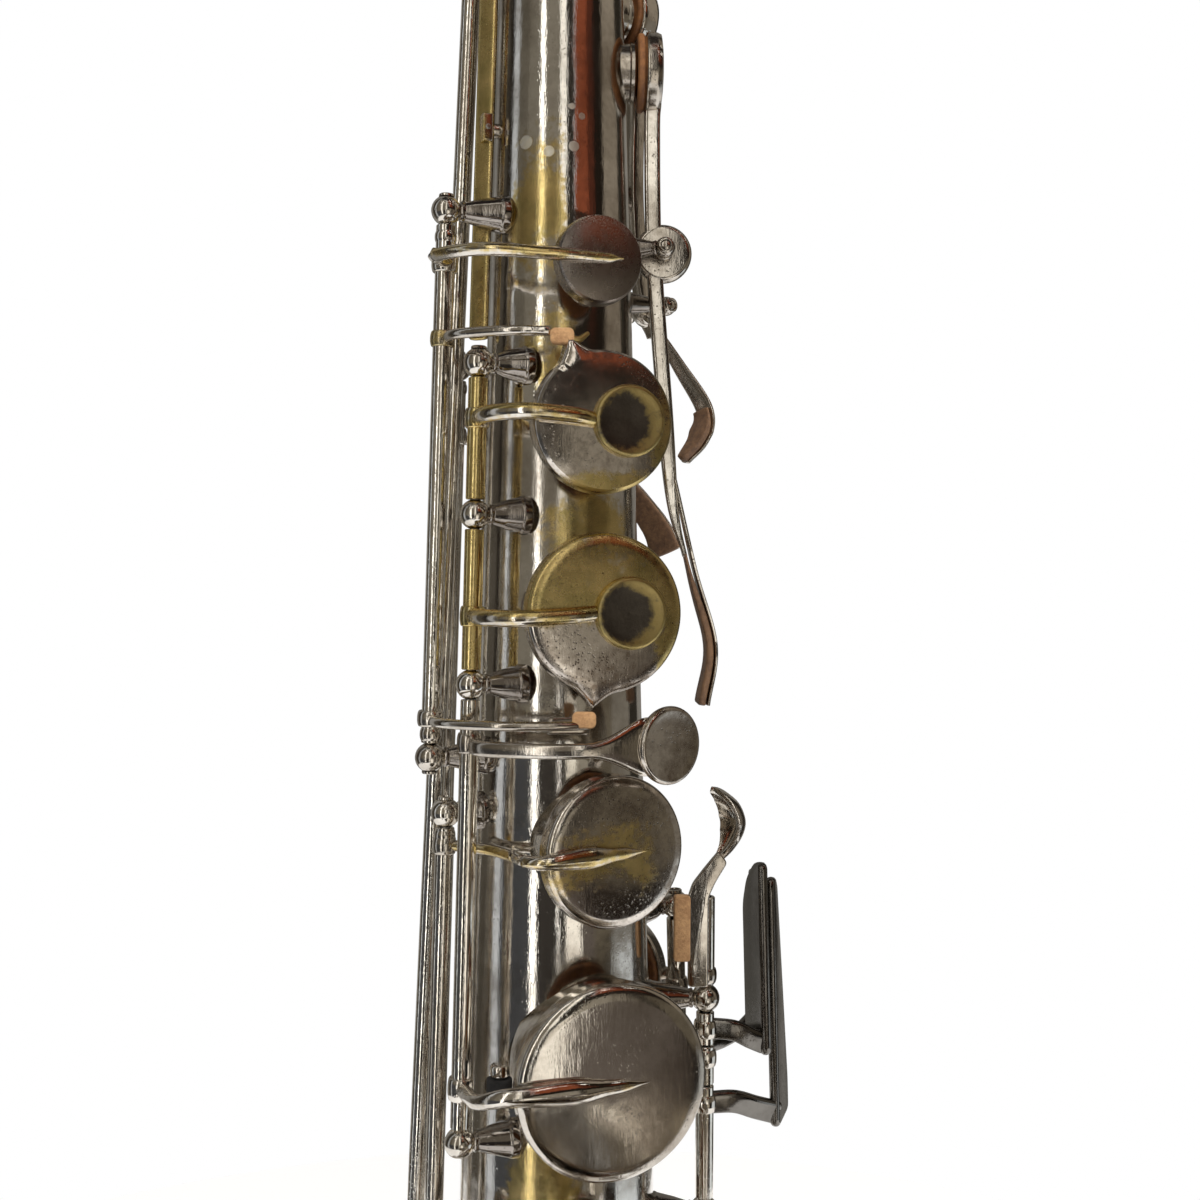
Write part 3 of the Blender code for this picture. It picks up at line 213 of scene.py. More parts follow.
def atShare(values, share, eased=False):
    # the value at a share of the way along a row of values
    last = len(values) - 1
    k = min(int(share * last), last - 1)
    t = share * last - k
    t = smooth(0.0, 1.0, t) if eased else t
    return values[k] * (1 - t) + values[k + 1] * t


def even(path, start, end=None):
    stop = start if end is None else end
    last = len(path) - 1
    return [start + (stop - start) * i / last for i in range(len(path))]


def sweep(path, widths, depths, upright, sides=18, square=2.0, wear=0.0, topWear=0.0,
          finish="silver", cap=0.6):
    # a bar along a path with round ends; square 2 is an oval section and more is boxier
    shape = newShape(finish)
    frames = []
    for i in range(len(path)):
        ahead = aheadAt(path, i)
        first = ahead.cross(upright).normalized()
        frames.append((path[i], ahead, first, first.cross(ahead).normalized(), widths[i], depths[i],
                       1.0))
    ends = []
    for place, sign in ((frames[0], -1.0), (frames[-1], 1.0)):
        point, ahead, first, second, width, depth, size = place
        ends.append([(point + ahead * (sign * min(width, depth) * cap * math.sin(bend)), ahead,
                      first, second, width, depth, math.cos(bend))
                     for bend in (0.5, 0.95, 1.3, 1.5)])
    frames = ends[0][::-1] + frames + ends[1]
    for point, ahead, first, second, width, depth, size in frames:
        for k in range(sides):
            turn = 2.0 * math.pi * (k + 0.5) / sides
            c, s = math.cos(turn), math.sin(turn)
            x = math.copysign(abs(c) ** (2.0 / square), c) * width * size
            y = math.copysign(abs(s) ** (2.0 / square), s) * depth * size
            shape["points"].append(point + first * x + second * y)
            shape["wear"].append(wear + topWear * smooth(0.1, 0.9, s))
    joinRings(shape, [(i, i + 1) for i in range(len(frames) - 1)], sides)
    last = len(shape["points"])
    shape["faces"].append(list(range(sides)))
    shape["faces"].append([last - 1 - k for k in range(sides)])
    return shape


def arm(points, start=1.7, end=1.7, upright=up, steps=8, **more):
    path = curveThrough(points, steps)
    radii = even(path, start, end)
    return sweep(path, radii, radii, upright, **more)


def flatBar(points, widths, thick, upright, steps=8, **more):
    path = curveThrough(points, steps)
    return sweep(path, even(path, *widths), even(path, thick), upright, sides=24, square=5.0,
                 **more)


def insetOutline(outline, amount):
    # moves a flat outline inwards, corner by corner
    count = len(outline)
    area = sum(outline[i][0] * outline[(i + 1) % count][1]
               - outline[(i + 1) % count][0] * outline[i][1]
               for i in range(count))
    side = 1.0 if area > 0 else -1.0
    moved = []
    for i in range(count):
        before = Vector(outline[i]) - Vector(outline[i - 1])
        after = Vector(outline[(i + 1) % count]) - Vector(outline[i])
        along = (before.normalized() + after.normalized()).normalized()
        moved.append((outline[i][0] - along.y * side * amount,
                      outline[i][1] + along.x * side * amount))
    return moved


def plate(outline, base, across, along, thick, edge=0.4, wear=0.0, topWear=0.0, finish="silver",
          bow=None):
    # a flat plate with rounded edges; bow bends it, giving a lift for each place on it
    normal = across.cross(along).normalized()
    shape = newShape(finish)
    edge = min(edge, thick * 0.49)
    levels = []
    for k in range(4):
        bend = math.pi / 2 * k / 3
        levels.append((edge * (1 - math.sin(bend)), -thick / 2 + edge * (1 - math.cos(bend))))
    levels += [(inset, -lift) for inset, lift in reversed(levels)]
    count = len(outline)
    for inset, lift in levels:
        for u, v in insetOutline(outline, inset):
            lifted = lift + (bow(u, v) if bow else 0.0)
            shape["points"].append(base + across * u + along * v + normal * lifted)
            shape["wear"].append(wear + (topWear if lift > 0 else 0.0))
    joinRings(shape, [(i, i + 1) for i in range(len(levels) - 1)], count)
    shape["faces"].append(list(range(count))[::-1])
    shape["faces"].append([(len(levels) - 1) * count + k for k in range(count)])
    return shape


def shell(grid, thick, wear=0.0, finish="silver"):
    # a curved sheet over a grid of points, thinner along its edges
    rows, columns = len(grid), len(grid[0])
    size = rows * columns
    shape = newShape(finish)
    for side in (0.5, -0.5):
        for r in range(rows):
            for c in range(columns):
                along = grid[min(r + 1, rows - 1)][c] - grid[max(r - 1, 0)][c]
                across = grid[r][min(c + 1, columns - 1)] - grid[r][max(c - 1, 0)]
                rim = r in (0, rows - 1) or c in (0, columns - 1)
                lift = along.cross(across).normalized() * (side * thick * (0.55 if rim else 1.0))
                shape["points"].append(grid[r][c] + lift)
    for r in range(rows - 1):
        for c in range(columns - 1):
            corner = r * columns + c
            quad = (corner, corner + 1, corner + columns + 1, corner + columns)
            shape["faces"] += [quad, tuple(size + i for i in reversed(quad))]
    rim = list(range(columns)) + [r * columns + columns - 1 for r in range(1, rows)]
    rim += [(rows - 1) * columns + c for c in range(columns - 2, -1, -1)]
    rim += [r * columns for r in range(rows - 2, 0, -1)]
    for a, b in zip(rim, rim[1:] + rim[:1]):
        shape["faces"].append((a, b, size + b, size + a))
    return withWear(shape, wear)


def roundedBox(width, height, corner, steps=6):
    outline = []
    for quarter, (sx, sy) in enumerate(((1, 1), (-1, 1), (-1, -1), (1, -1))):
        for k in range(steps + 1):
            turn = math.pi / 2 * (quarter + k / steps)
            outline.append((sx * (width / 2 - corner) + corner * math.cos(turn),
                            sy * (height / 2 - corner) + corner * math.sin(turn)))
    return outline


def smoothOutline(corners, steps=5):
    # a closed smooth curve through the corners of an outline
    count = len(corners)
    points = [Vector((u, v, 0.0)) for u, v in corners]
    path = []
    for i in range(count):
        near = [points[(i + k - 1) % count] for k in range(4)]
        path += [tuple(between(*near, k / steps).xy) for k in range(steps)]
    return path


def meshFrom(name, points, faces):
    mesh = bpy.data.meshes.new(name)
    mesh.from_pydata(points, [], faces)
    work = bmesh.new()
    work.from_mesh(mesh)
    bmesh.ops.recalc_face_normals(work, faces=work.faces)
    work.to_mesh(mesh)
    work.free()
    return mesh


def drill(shape, cutters, wear=0.0):
    # cuts the shapes in cutters out of a shape
    work = bpy.data.objects.new("work", meshFrom("work", shape["points"], shape["faces"]))
    points = []
    faces = []
    for cutter in cutters:
        start = len(points)
        points += cutter["points"]
        faces += [[start + i for i in face] for face in cutter["faces"]]
    tool = bpy.data.objects.new("tool", meshFrom("tool", points, faces))
    for made in (work, tool):
        scene.collection.objects.link(made)
    change = work.modifiers.new("drill", "BOOLEAN")
    change.operation = "DIFFERENCE"
    change.solver = "EXACT"
    change.object = tool
    graph = bpy.context.evaluated_depsgraph_get()
    mesh = bpy.data.meshes.new_from_object(work.evaluated_get(graph))
    result = newShape(shape["finish"])
    result["points"] = [vertex.co.copy() for vertex in mesh.vertices]
    result["faces"] = [list(face.vertices) for face in mesh.polygons]
    for made in (work, tool):
        bpy.data.objects.remove(made, do_unlink=True)
    return withWear(result, wear)


# node makers: each one takes and gives sockets
def newFinish(name):
    material = bpy.data.materials.new(name)
    material.use_nodes = True
    tree = material.node_tree
    return material, tree, tree.nodes["Principled BSDF"]


def feed(tree, target, value):
    if isinstance(value, bpy.types.NodeSocket):
        tree.links.new(value, target)
    else:
        target.default_value = value


def maths(tree, operation, first, second=0.5, clamp=False):
    node = tree.nodes.new("ShaderNodeMath")
    node.operation = operation
    node.use_clamp = clamp
    feed(tree, node.inputs[0], first)
    feed(tree, node.inputs[1], second)
    return node.outputs[0]


def times(tree, first, second):
    return maths(tree, "MULTIPLY", first, second)


def plus(tree, first, second, clamp=False):
    return maths(tree, "ADD", first, second, clamp)


def objectPlace(tree, stretch=(1.0, 1.0, 1.0)):
    place = tree.nodes.new("ShaderNodeTexCoord")
    mapping = tree.nodes.new("ShaderNodeMapping")
    mapping.inputs["Scale"].default_value = stretch
    tree.links.new(place.outputs["Object"], mapping.inputs["Vector"])
    return mapping.outputs["Vector"]


def noise(tree, size, detail=4.0, rough=0.55, stretch=(1.0, 1.0, 1.0)):
    # size is the rough width of one patch, in metres
    node = tree.nodes.new("ShaderNodeTexNoise")
    node.inputs["Scale"].default_value = 1.0 / size
    node.inputs["Detail"].default_value = detail
    node.inputs["Roughness"].default_value = rough
    tree.links.new(objectPlace(tree, stretch), node.inputs["Vector"])
    return node.outputs["Fac"]


def spots(tree, size, reach):
    # 1 inside round spots, 0 between them
    node = tree.nodes.new("ShaderNodeTexVoronoi")
    node.inputs["Scale"].default_value = 1.0 / size
    tree.links.new(objectPlace(tree), node.inputs["Vector"])
    return span(tree, node.outputs["Distance"], reach, reach * 0.45)


def span(tree, value, low, high, newLow=0.0, newHigh=1.0):
    node = tree.nodes.new("ShaderNodeMapRange")
    node.interpolation_type = "SMOOTHSTEP"
    feed(tree, node.inputs["Value"], value)
    for name, number in (("From Min", low), ("From Max", high), ("To Min", newLow),
                         ("To Max", newHigh)):
        node.inputs[name].default_value = number
    return node.outputs["Result"]


def mixed(tree, share, first, second):
    node = tree.nodes.new("ShaderNodeMix")
    node.data_type = "RGBA"
    feed(tree, node.inputs["Factor"], share)
    for target, colour in ((node.inputs["A"], first), (node.inputs["B"], second)):
        feed(tree, target, (*colour, 1.0) if isinstance(colour, tuple) else colour)
    return node.outputs["Result"]


def wearOf(tree):
    node = tree.nodes.new("ShaderNodeAttribute")
    node.attribute_name = "wear"
    return node.outputs["Fac"]


def ragged(tree, coarse, fine, much, little):
    # wear, with two noises about zero that break up the edge of a worn patch
    rough = plus(tree, times(tree, maths(tree, "SUBTRACT", coarse, 0.5), much),
                 times(tree, maths(tree, "SUBTRACT", fine, 0.5), little))
    return plus(tree, wearOf(tree), rough)


def dress(tree, shader, colour, rough, metal=0.0):
    tree.links.new(colour, shader.inputs["Base Color"])
    tree.links.new(rough, shader.inputs["Roughness"])
    shader.inputs["Metallic"].default_value = metal


def bumped(tree, shader, height, strength, depth):
    node = tree.nodes.new("ShaderNodeBump")
    node.inputs["Strength"].default_value = strength
    node.inputs["Distance"].default_value = depth
    tree.links.new(height, node.inputs["Height"])
    tree.links.new(node.outputs["Normal"], shader.inputs["Normal"])


platedLooks = {
    "silver": {"clean": (0.76, 0.72, 0.66), "dull": (0.30, 0.255, 0.205), "rough": 0.09,
               "pits": 0.4, "grain": 0.5},
    "cup": {"clean": (0.70, 0.65, 0.59), "dull": (0.27, 0.22, 0.175), "rough": 0.14, "pits": 0.85,
            "grain": 1.5},
    "rod": {"clean": (0.92, 0.89, 0.83), "dull": (0.60, 0.53, 0.44), "rough": 0.06, "pits": 0.3,
            "grain": 0.5},
    # the next three looks are darker copies of the same plate, as painted shade: the first for the
    # post cones, the second for the table levers, the third, also rougher, for the C cup
    "shadedDim": {"clean": (0.35, 0.32, 0.29), "dull": (0.19, 0.16, 0.135), "rough": 0.10, "pits": 0.4,
            "grain": 0.8},
    "grey": {"clean": (0.20, 0.188, 0.172), "dull": (0.11, 0.10, 0.088), "rough": 0.12, "pits": 0.4,
             "grain": 0.8},
    "shadedSatin": {"clean": (0.44, 0.39, 0.35), "dull": (0.24, 0.20, 0.17), "rough": 0.24, "pits": 0.4,
              "grain": 0.8},
    "bell": {"clean": (0.74, 0.70, 0.64), "dull": (0.54, 0.49, 0.42), "rough": 0.09, "pits": 0.2,
             "grain": 0.3},
    "tube": {"clean": (0.78, 0.75, 0.70), "dull": (0.28, 0.24, 0.195), "rough": 0.07, "pits": 0.2,
             "grain": 0.4},
}
plateMarks = {"brass": (0.72, 0.55, 0.24), "olive": (0.46, 0.37, 0.15), "pit": (0.10, 0.075, 0.055),
              "water": (0.86, 0.83, 0.74)}
# dried drops on the tube: angle, height and half width
waterMarks = [(-49.9, 111.6, 2.0), (-9.4, 110.2, 1.5), (-29.7, 108.9, 1.5), (-2.5, 117.7, 1.0),
              (-11.0, 119.9, 0.9)]


def dried(tree, place, half):
    # 1 inside a dried drop at a place on the tube
    node = tree.nodes.new("ShaderNodeVectorMath")
    node.operation = "DISTANCE"
    tree.links.new(objectPlace(tree), node.inputs[0])
    node.inputs[1].default_value = (place - strapRing) * millimetre
    return span(tree, node.outputs["Value"], half * millimetre, half * 0.7 * millimetre)


def makePlated(name, look):
    # silver plate that dulls, pits and wears through to yellow and olive brass
    material, tree, shader = newFinish(name)
    coarse = noise(tree, 0.016, 5.0, 0.62)
    fine = noise(tree, 0.0016, 4.0, 0.6)
    bare = span(tree, ragged(tree, coarse, fine, 1.1, 0.45), 0.40, 0.66)
    stain = span(tree, noise(tree, 0.028, 4.0, 0.6), 0.38, 0.68, 0.0, 0.72)
    cloud = plus(tree, fine, noise(tree, 0.006, 5.0, 0.68))
    film = plus(tree, stain, times(tree, maths(tree, "SUBTRACT", cloud, 1.0), look["grain"]), True)
    plated = mixed(tree, film, look["clean"], look["dull"])
    olive = span(tree, noise(tree, 0.009, 5.0, 0.65), 0.35, 0.7)
    brass = mixed(tree, olive, plateMarks["brass"], plateMarks["olive"])
    colour = mixed(tree, bare, plated, brass)
    pitField = span(tree, noise(tree, 0.013, 3.0, 0.6), 0.46, 0.66)
    pits = times(tree, times(tree, spots(tree, 0.0009, 0.30), pitField), look["pits"])
    specks = times(tree, spots(tree, 0.0026, 0.10), look["pits"])
    marks = maths(tree, "MAXIMUM", pits, specks)
    colour = mixed(tree, marks, colour, plateMarks["pit"])
    rough = plus(tree, times(tree, film, 0.14), times(tree, bare, 0.12))
    if name == "plated_tube":
        for angle, height, half in waterMarks:
            drop = dried(tree, besideTube(angle, 0.0, height), half)
            colour = mixed(tree, times(tree, drop, 0.6), colour, plateMarks["water"])
            rough = plus(tree, times(tree, drop, 0.3), rough)
    rough = plus(tree, times(tree, marks, 0.2), rough)
    rough = plus(tree, times(tree, fine, 0.10), rough)
    dress(tree, shader, colour, plus(tree, rough, look["rough"] - 0.05), 1.0)
    scratches = noise(tree, 0.0009, 3.0, 0.7, (1.0, 1.0, 0.16))
    height = maths(tree, "SUBTRACT", times(tree, scratches, 0.35), times(tree, marks, 0.8))
    height = plus(tree, height, times(tree, noise(tree, 0.011, 2.0), 1.6))
    bumped(tree, shader, height, 0.16, 0.0005)
    return material


def makeBrass(name, bright, dark, rough):
    # bare brass with brown and olive tarnish
    material, tree, shader = newFinish(name)
    stain = span(tree, noise(tree, 0.008, 6.0, 0.65), 0.36, 0.68)
    fine = noise(tree, 0.0012, 4.0, 0.6)
    uneven = plus(tree, times(tree, stain, 0.16), times(tree, fine, 0.16))
    dress(tree, shader, mixed(tree, stain, bright, dark), plus(tree, uneven, rough), 1.0)
    bumped(tree, shader, fine, 0.12, 0.0003)
    return material


def makeTouch(name):
    # finger touch: yellow brass ring round a middle that fingers have left grey and dark
    material, tree, shader = newFinish(name)
    coarse = noise(tree, 0.006, 6.0, 0.7)
    fine = noise(tree, 0.0011, 4.0, 0.65)
    bare = span(tree, ragged(tree, coarse, fine, 1.3, 0.7), 0.30, 0.80)
    middle = mixed(tree, coarse, (0.04, 0.035, 0.03), (0.20, 0.175, 0.145))
    brass = mixed(tree, fine, (0.60, 0.47, 0.20), (0.42, 0.33, 0.13))
    dress(tree, shader, mixed(tree, bare, middle, brass), plus(tree, times(tree, fine, 0.3), 0.24),
          1.0)
    bumped(tree, shader, fine, 0.22, 0.0003)
    return material


def makeSoft(name, light, dark, grain, rough, depth, strength):
    # leather, cork and felt: two colours in grain, dull and bumpy
    material, tree, shader = newFinish(name)
    patches = noise(tree, grain * 6.0, 5.0, 0.65)
    cells = noise(tree, grain, 5.0, 0.7)
    share = span(tree, plus(tree, times(tree, patches, 0.5), times(tree, cells, 0.5)), 0.36, 0.64)
    dress(tree, shader, mixed(tree, share, dark, light),
          span(tree, cells, 0.2, 0.8, rough - 0.1, rough + 0.08))
    bumped(tree, shader, cells, strength, depth)
    return material


def makeEbonite(name):
    material, tree, shader = newFinish(name)
    haze = noise(tree, 0.012, 5.0, 0.6)
    dress(tree, shader, mixed(tree, haze, (0.010, 0.010, 0.011), (0.030, 0.027, 0.024)),
          span(tree, haze, 0.3, 0.7, 0.16, 0.34))
    bumped(tree, shader, noise(tree, 0.002, 3.0), 0.05, 0.0002)
    return material


def makeCane(name):
    material, tree, shader = newFinish(name)
    fibres = noise(tree, 0.0012, 4.0, 0.6, (1.0, 0.06, 0.06))
    dress(tree, shader, mixed(tree, fibres, (0.62, 0.47, 0.22), (0.82, 0.70, 0.43)),
          span(tree, fibres, 0.3, 0.7, 0.5, 0.68))
    bumped(tree, shader, fibres, 0.2, 0.0003)
    return material


finishes = {name: makePlated("plated_" + name, look) for name, look in platedLooks.items()}
finishes |= {
    "brass": makeBrass("bare_brass", (0.78, 0.60, 0.27), (0.50, 0.37, 0.15), 0.14),
    "tubeBrass": makeBrass("hinge_brass", (0.88, 0.70, 0.33), (0.64, 0.49, 0.20), 0.06),
    "steel": makeBrass("rod_steel", (0.52, 0.51, 0.50), (0.34, 0.32, 0.30), 0.22),
    "touch": makeTouch("touch_metal"),
    "leather": makeSoft("pad_leather", (0.30, 0.125, 0.04), (0.15, 0.06, 0.022), 0.0012, 0.62,
                        0.0004, 0.3),
    "facing": makeSoft("touch_facing", (0.26, 0.145, 0.075), (0.13, 0.072, 0.042), 0.0012, 0.6,
                       0.0004, 0.35),
    "cork": makeSoft("sheet_cork", (0.58, 0.34, 0.16), (0.36, 0.19, 0.085), 0.0009, 0.82, 0.0005,
                     0.5),
    "felt": makeSoft("stop_felt", (0.030, 0.028, 0.027), (0.010, 0.010, 0.010), 0.0005, 0.9, 0.0006,
                     0.7),
    "ebonite": makeEbonite("polished_ebonite"),
    "cane": makeCane("reed_cane"),
    # shade: a dark material of painted shade, laid in recesses and screw slots
    "shade": makeSoft("painted_recess_shade", (0.05, 0.04, 0.03), (0.02, 0.017, 0.014), 0.004, 0.6, 0.0003,
                      0.2),
}
print("finishes made:", len(finishes))


def assemble(name, shapes, body, node=None, turn=None, sharp=40.0):
    # joins shapes into one piece, turns an open key to its rest place, and rides it on its body
    points = []
    faces = []
    wear = []
    indexes = []
    names = []
    for shape in shapes:
        start = len(points)
        points += shape["points"]
        wear += shape["wear"]
        faces += [[start + i for i in face] for face in shape["faces"]]
        if shape["finish"] not in names:
            names.append(shape["finish"])
        indexes += [names.index(shape["finish"])] * len(shape["faces"])
    place = Matrix.Translation(-strapRing)
    if turn:
        pivot, axis, degrees = turn
        place = (place @ Matrix.Translation(pivot) @ Matrix.Rotation(math.radians(degrees), 4, axis)
                 @ Matrix.Translation(-pivot))
    place = Matrix.Scale(millimetre, 4) @ place
    mesh = meshFrom(name, [place @ point for point in points], faces)
    for finish in names:
        mesh.materials.append(finishes[finish])
    mesh.polygons.foreach_set("material_index", indexes)
    mesh.attributes.new("wear", "FLOAT", "POINT").data.foreach_set("value", wear)
    mesh.shade_smooth()
    mesh.set_sharp_from_angle(angle=math.radians(sharp))
    piece = bpy.data.objects.new(name, mesh)
    scene.collection.objects.link(piece)
    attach(piece, body)
    if node:
        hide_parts(node)
    return piece


# camera where the photograph was taken from, close in front and to the left
cameraPlace = {"at": (-120.6, -326.1, 8.2), "yaw": 22.04, "pitch": -1.44, "roll": 0.26,
               "lens": 40.5, "sensor": 36.0, "nearest": 0.01}


def addCamera():
    camera = bpy.data.objects.new("camera", bpy.data.cameras.new("camera"))
    camera.data.sensor_width = cameraPlace["sensor"]
    camera.data.lens = cameraPlace["lens"]
    camera.data.clip_start = cameraPlace["nearest"]
    yaw, pitch, roll = (math.radians(cameraPlace[name]) for name in ("yaw", "pitch", "roll"))
    turn = (Matrix.Rotation(-yaw, 4, "Z") @ Matrix.Rotation(math.pi / 2 + pitch, 4, "X")
            @ Matrix.Rotation(roll, 4, "Z"))
    place = (Vector(cameraPlace["at"]) - strapRing) * millimetre
    camera.matrix_world = Matrix.Translation(place) @ turn
    scene.collection.objects.link(camera)
    scene.camera = camera


# room round the instrument: cards that only reflections see, by angle and rise, with their glow
roomCards = {
    "radius": 1.15, "middle": (0.0, -0.04, 0.14), "columns": 12, "rows": 8,
    "cards": [
        ((-170, -140), (-60, 70), (0.30, 0.29, 0.27)),
        ((-140, -122), (-60, 70), (0.08, 0.07, 0.055)),
        ((-122, -110), (-60, 70), (0.025, 0.02, 0.015)),
        ((-110, -98), (-60, 70), (0.56, 0.58, 0.60)), ((-98, -55), (-60, -6), (0.06, 0.061, 0.064)),
        ((-98, -78), (-6, 70), (0.13, 0.115, 0.09)), ((-78, -55), (-6, 70), (0.19, 0.17, 0.135)),
        ((-55, -48), (-30, 60), (2.6, 2.52, 2.36)), ((-55, -48), (-60, -30), (0.04, 0.035, 0.03)),
        ((-48, -21), (-4, 70), (0.22, 0.195, 0.155)), ((-48, -21), (-60, -4), (0.04, 0.035, 0.03)),
        ((-21, -18.5), (-60, 2), (1.6, 1.55, 1.44)), ((-21, -10), (2, 62), (1.2, 1.15, 1.04)),
        ((-18.5, -10), (-60, 2), (0.04, 0.035, 0.03)), ((-10, 3), (-12, -3), (0.90, 0.84, 0.72)),
        ((-10, 9), (-50, -12), (1.15, 1.08, 0.96)), ((9, 27), (-60, -12), (0.12, 0.10, 0.085)),
        ((-10, 3), (-3, 70), (0.03, 0.025, 0.02)), ((3, 20), (-12, 9), (0.28, 0.25, 0.20)),
        ((3, 27), (9, 22), (0.02, 0.016, 0.012)), ((20, 27), (-12, 9), (0.03, 0.025, 0.02)),
        ((4, 26), (22, 70), (0.24, 0.065, 0.03)), ((26, 38), (17, 70), (0.08, 0.025, 0.014)),
        ((27, 56), (8, 17), (0.015, 0.011, 0.008)), ((38, 56), (17, 70), (0.015, 0.011, 0.008)),
        ((27, 56), (-18, 8), (0.13, 0.11, 0.08)), ((27, 52), (-60, -18), (0.015, 0.011, 0.008)),
        ((56, 92), (8, 70), (0.27, 0.23, 0.18)), ((56, 92), (-18, 8), (0.19, 0.17, 0.14)),
        ((52, 88), (-60, -18), (0.72, 0.77, 0.80)), ((88, 92), (-60, -18), (0.03, 0.026, 0.02)),
        ((92, 118), (-60, 70), (0.03, 0.026, 0.02)), ((118, 150), (-60, 70), (0.24, 0.225, 0.20)),
        ((150, 190), (-60, 70), (0.16, 0.15, 0.13)), ((-180, 180), (70, 89), (0.04, 0.036, 0.032)),
    ],
    "spots": [(-72, 58), (-60, 38), (-40, 50), (-30, 66), (-14, 42), (-4, 58), (14, 46), (22, 64),
              (40, 40), (58, 56)],
    "spotHalf": 2.4, "spotGlow": (3.2, 3.1, 2.9), "spotNearer": 0.05,
}


def addCard(name, angles, rises, glow, nearer=0.0):
    columns, rows = roomCards["columns"], roomCards["rows"]
    points = []
    faces = []
    for r in range(rows + 1):
        rise = math.radians(rises[0] + (rises[1] - rises[0]) * r / rows)
        for c in range(columns + 1):
            angle = angles[0] + (angles[1] - angles[0]) * c / columns
            spot = polar(angle, math.cos(rise), math.sin(rise)) * (roomCards["radius"] - nearer)
            points.append(spot + Vector(roomCards["middle"]))
    for r in range(rows):
        for c in range(columns):
            corner = r * (columns + 1) + c
            faces.append((corner, corner + 1, corner + columns + 2, corner + columns + 1))
    card = bpy.data.objects.new(name, meshFrom(name, points, faces))
    material = bpy.data.materials.new("card_glow")
    material.use_nodes = True
    tree = material.node_tree
    tree.nodes.clear()
    glowing = tree.nodes.new("ShaderNodeEmission")
    glowing.inputs["Color"].default_value = (*glow, 1.0)
    output = tree.nodes.new("ShaderNodeOutputMaterial")
    tree.links.new(glowing.outputs[0], output.inputs[0])
    card.data.materials.append(material)
    for ray in ("camera", "diffuse", "shadow", "transmission", "volume_scatter"):
        setattr(card, "visible_" + ray, False)
    scene.collection.objects.link(card)


lamps = {
    "overhead": {"at": (-0.25, -0.55, 1.25), "aim": (0.0, -0.03, 0.15), "size": 0.6, "power": 8.0},
    "left": {"at": (-0.95, -0.55, 0.55), "aim": (0.0, -0.03, 0.10), "size": 0.35, "power": 3.0},
    "right": {"at": (0.85, -0.75, 0.45), "aim": (0.0, -0.03, 0.05), "size": 0.3, "power": 4.0},
}


def addLamp(name, lamp):
    light = bpy.data.lights.new(name, "AREA")
    light.energy = lamp["power"]
    light.size = lamp["size"]
    holder = bpy.data.objects.new(name, light)
    place = Vector(lamp["at"])
    holder.location = place
    holder.visible_glossy = False
    holder.rotation_euler = (Vector(lamp["aim"]) - place).to_track_quat("-Z", "Y").to_euler()
    scene.collection.objects.link(holder)


def seenRays(tree):
    # 1 where the camera, a reflection or glass looks, 0 for the light that falls on the object
    path = tree.nodes.new("ShaderNodeLightPath")
    return maths(tree, "MAXIMUM", path.outputs["Is Camera Ray"],
                 maths(tree, "MAXIMUM", path.outputs["Is Glossy Ray"],
                       path.outputs["Is Transmission Ray"]))


worldLook = {"light": (0.62, 0.60, 0.58), "seen": (1.0, 1.0, 1.0)}
floorLook = {"radius": 0.62, "drop": 0.002, "colour": (0.66, 0.66, 0.655), "rough": 0.7,
             "glow": 0.46}


def addWorld():
    world = bpy.data.worlds.new("room")
    scene.world = world
    world.use_nodes = True
    tree = world.node_tree
    tree.nodes.clear()
    ground = tree.nodes.new("ShaderNodeBackground")
    feed(tree, ground.inputs["Color"],
         mixed(tree, seenRays(tree), worldLook["light"], worldLook["seen"]))
    output = tree.nodes.new("ShaderNodeOutputWorld")
    tree.links.new(ground.outputs[0], output.inputs[0])


def addFloor():
    # a round floor, lifted to white where it is seen, that keeps the shadow
    low = cadBox[0][2] - floorLook["drop"]
    rim = [polar(90.0 + turn, floorLook["radius"], low) for turn in range(0, 360, 4)]
    floor = bpy.data.objects.new("floor", meshFrom("floor", rim, [tuple(range(len(rim)))]))
    material, tree, shader = newFinish("pale_floor")
    shader.inputs["Base Color"].default_value = (*floorLook["colour"], 1.0)
    shader.inputs["Roughness"].default_value = floorLook["rough"]
    shader.inputs["Emission Color"].default_value = (1.0, 1.0, 1.0, 1.0)
    feed(tree, shader.inputs["Emission Strength"],
         span(tree, seenRays(tree), 0.0, 1.0, 0.0, floorLook["glow"]))
    floor.data.materials.append(material)
    scene.collection.objects.link(floor)


addCamera()
addWorld()
addFloor()
for index, card in enumerate(roomCards["cards"]):
    addCard("room_card_%d" % index, *card)
for index, (angle, rise) in enumerate(roomCards["spots"]):
    half = roomCards["spotHalf"]
    addCard("ceiling_spot_%d" % index, (angle - half, angle + half), (rise - half, rise + half),
            roomCards["spotGlow"], roomCards["spotNearer"])
for name, lamp in lamps.items():
    addLamp(name, lamp)
print("camera, room and lamps set")


# hinge lines: beside the tube at an angle and a distance off it, free, or across the tube
def tubeLine(angle, off, grow=0.0):
    def at(height):
        return besideTube(angle, off + grow * height, height)
    return {"at": at, "axis": (at(1.0) - at(0.0)).normalized(), "angle": angle}


def freeLine(base, direction):
    direction = direction.normalized()
    return {"at": lambda along: base + direction * along, "axis": direction, "angle": 0.0}


def rockerLine(angle, reach, height):
    return freeLine(polar(angle, reach, height), tangent(angle))


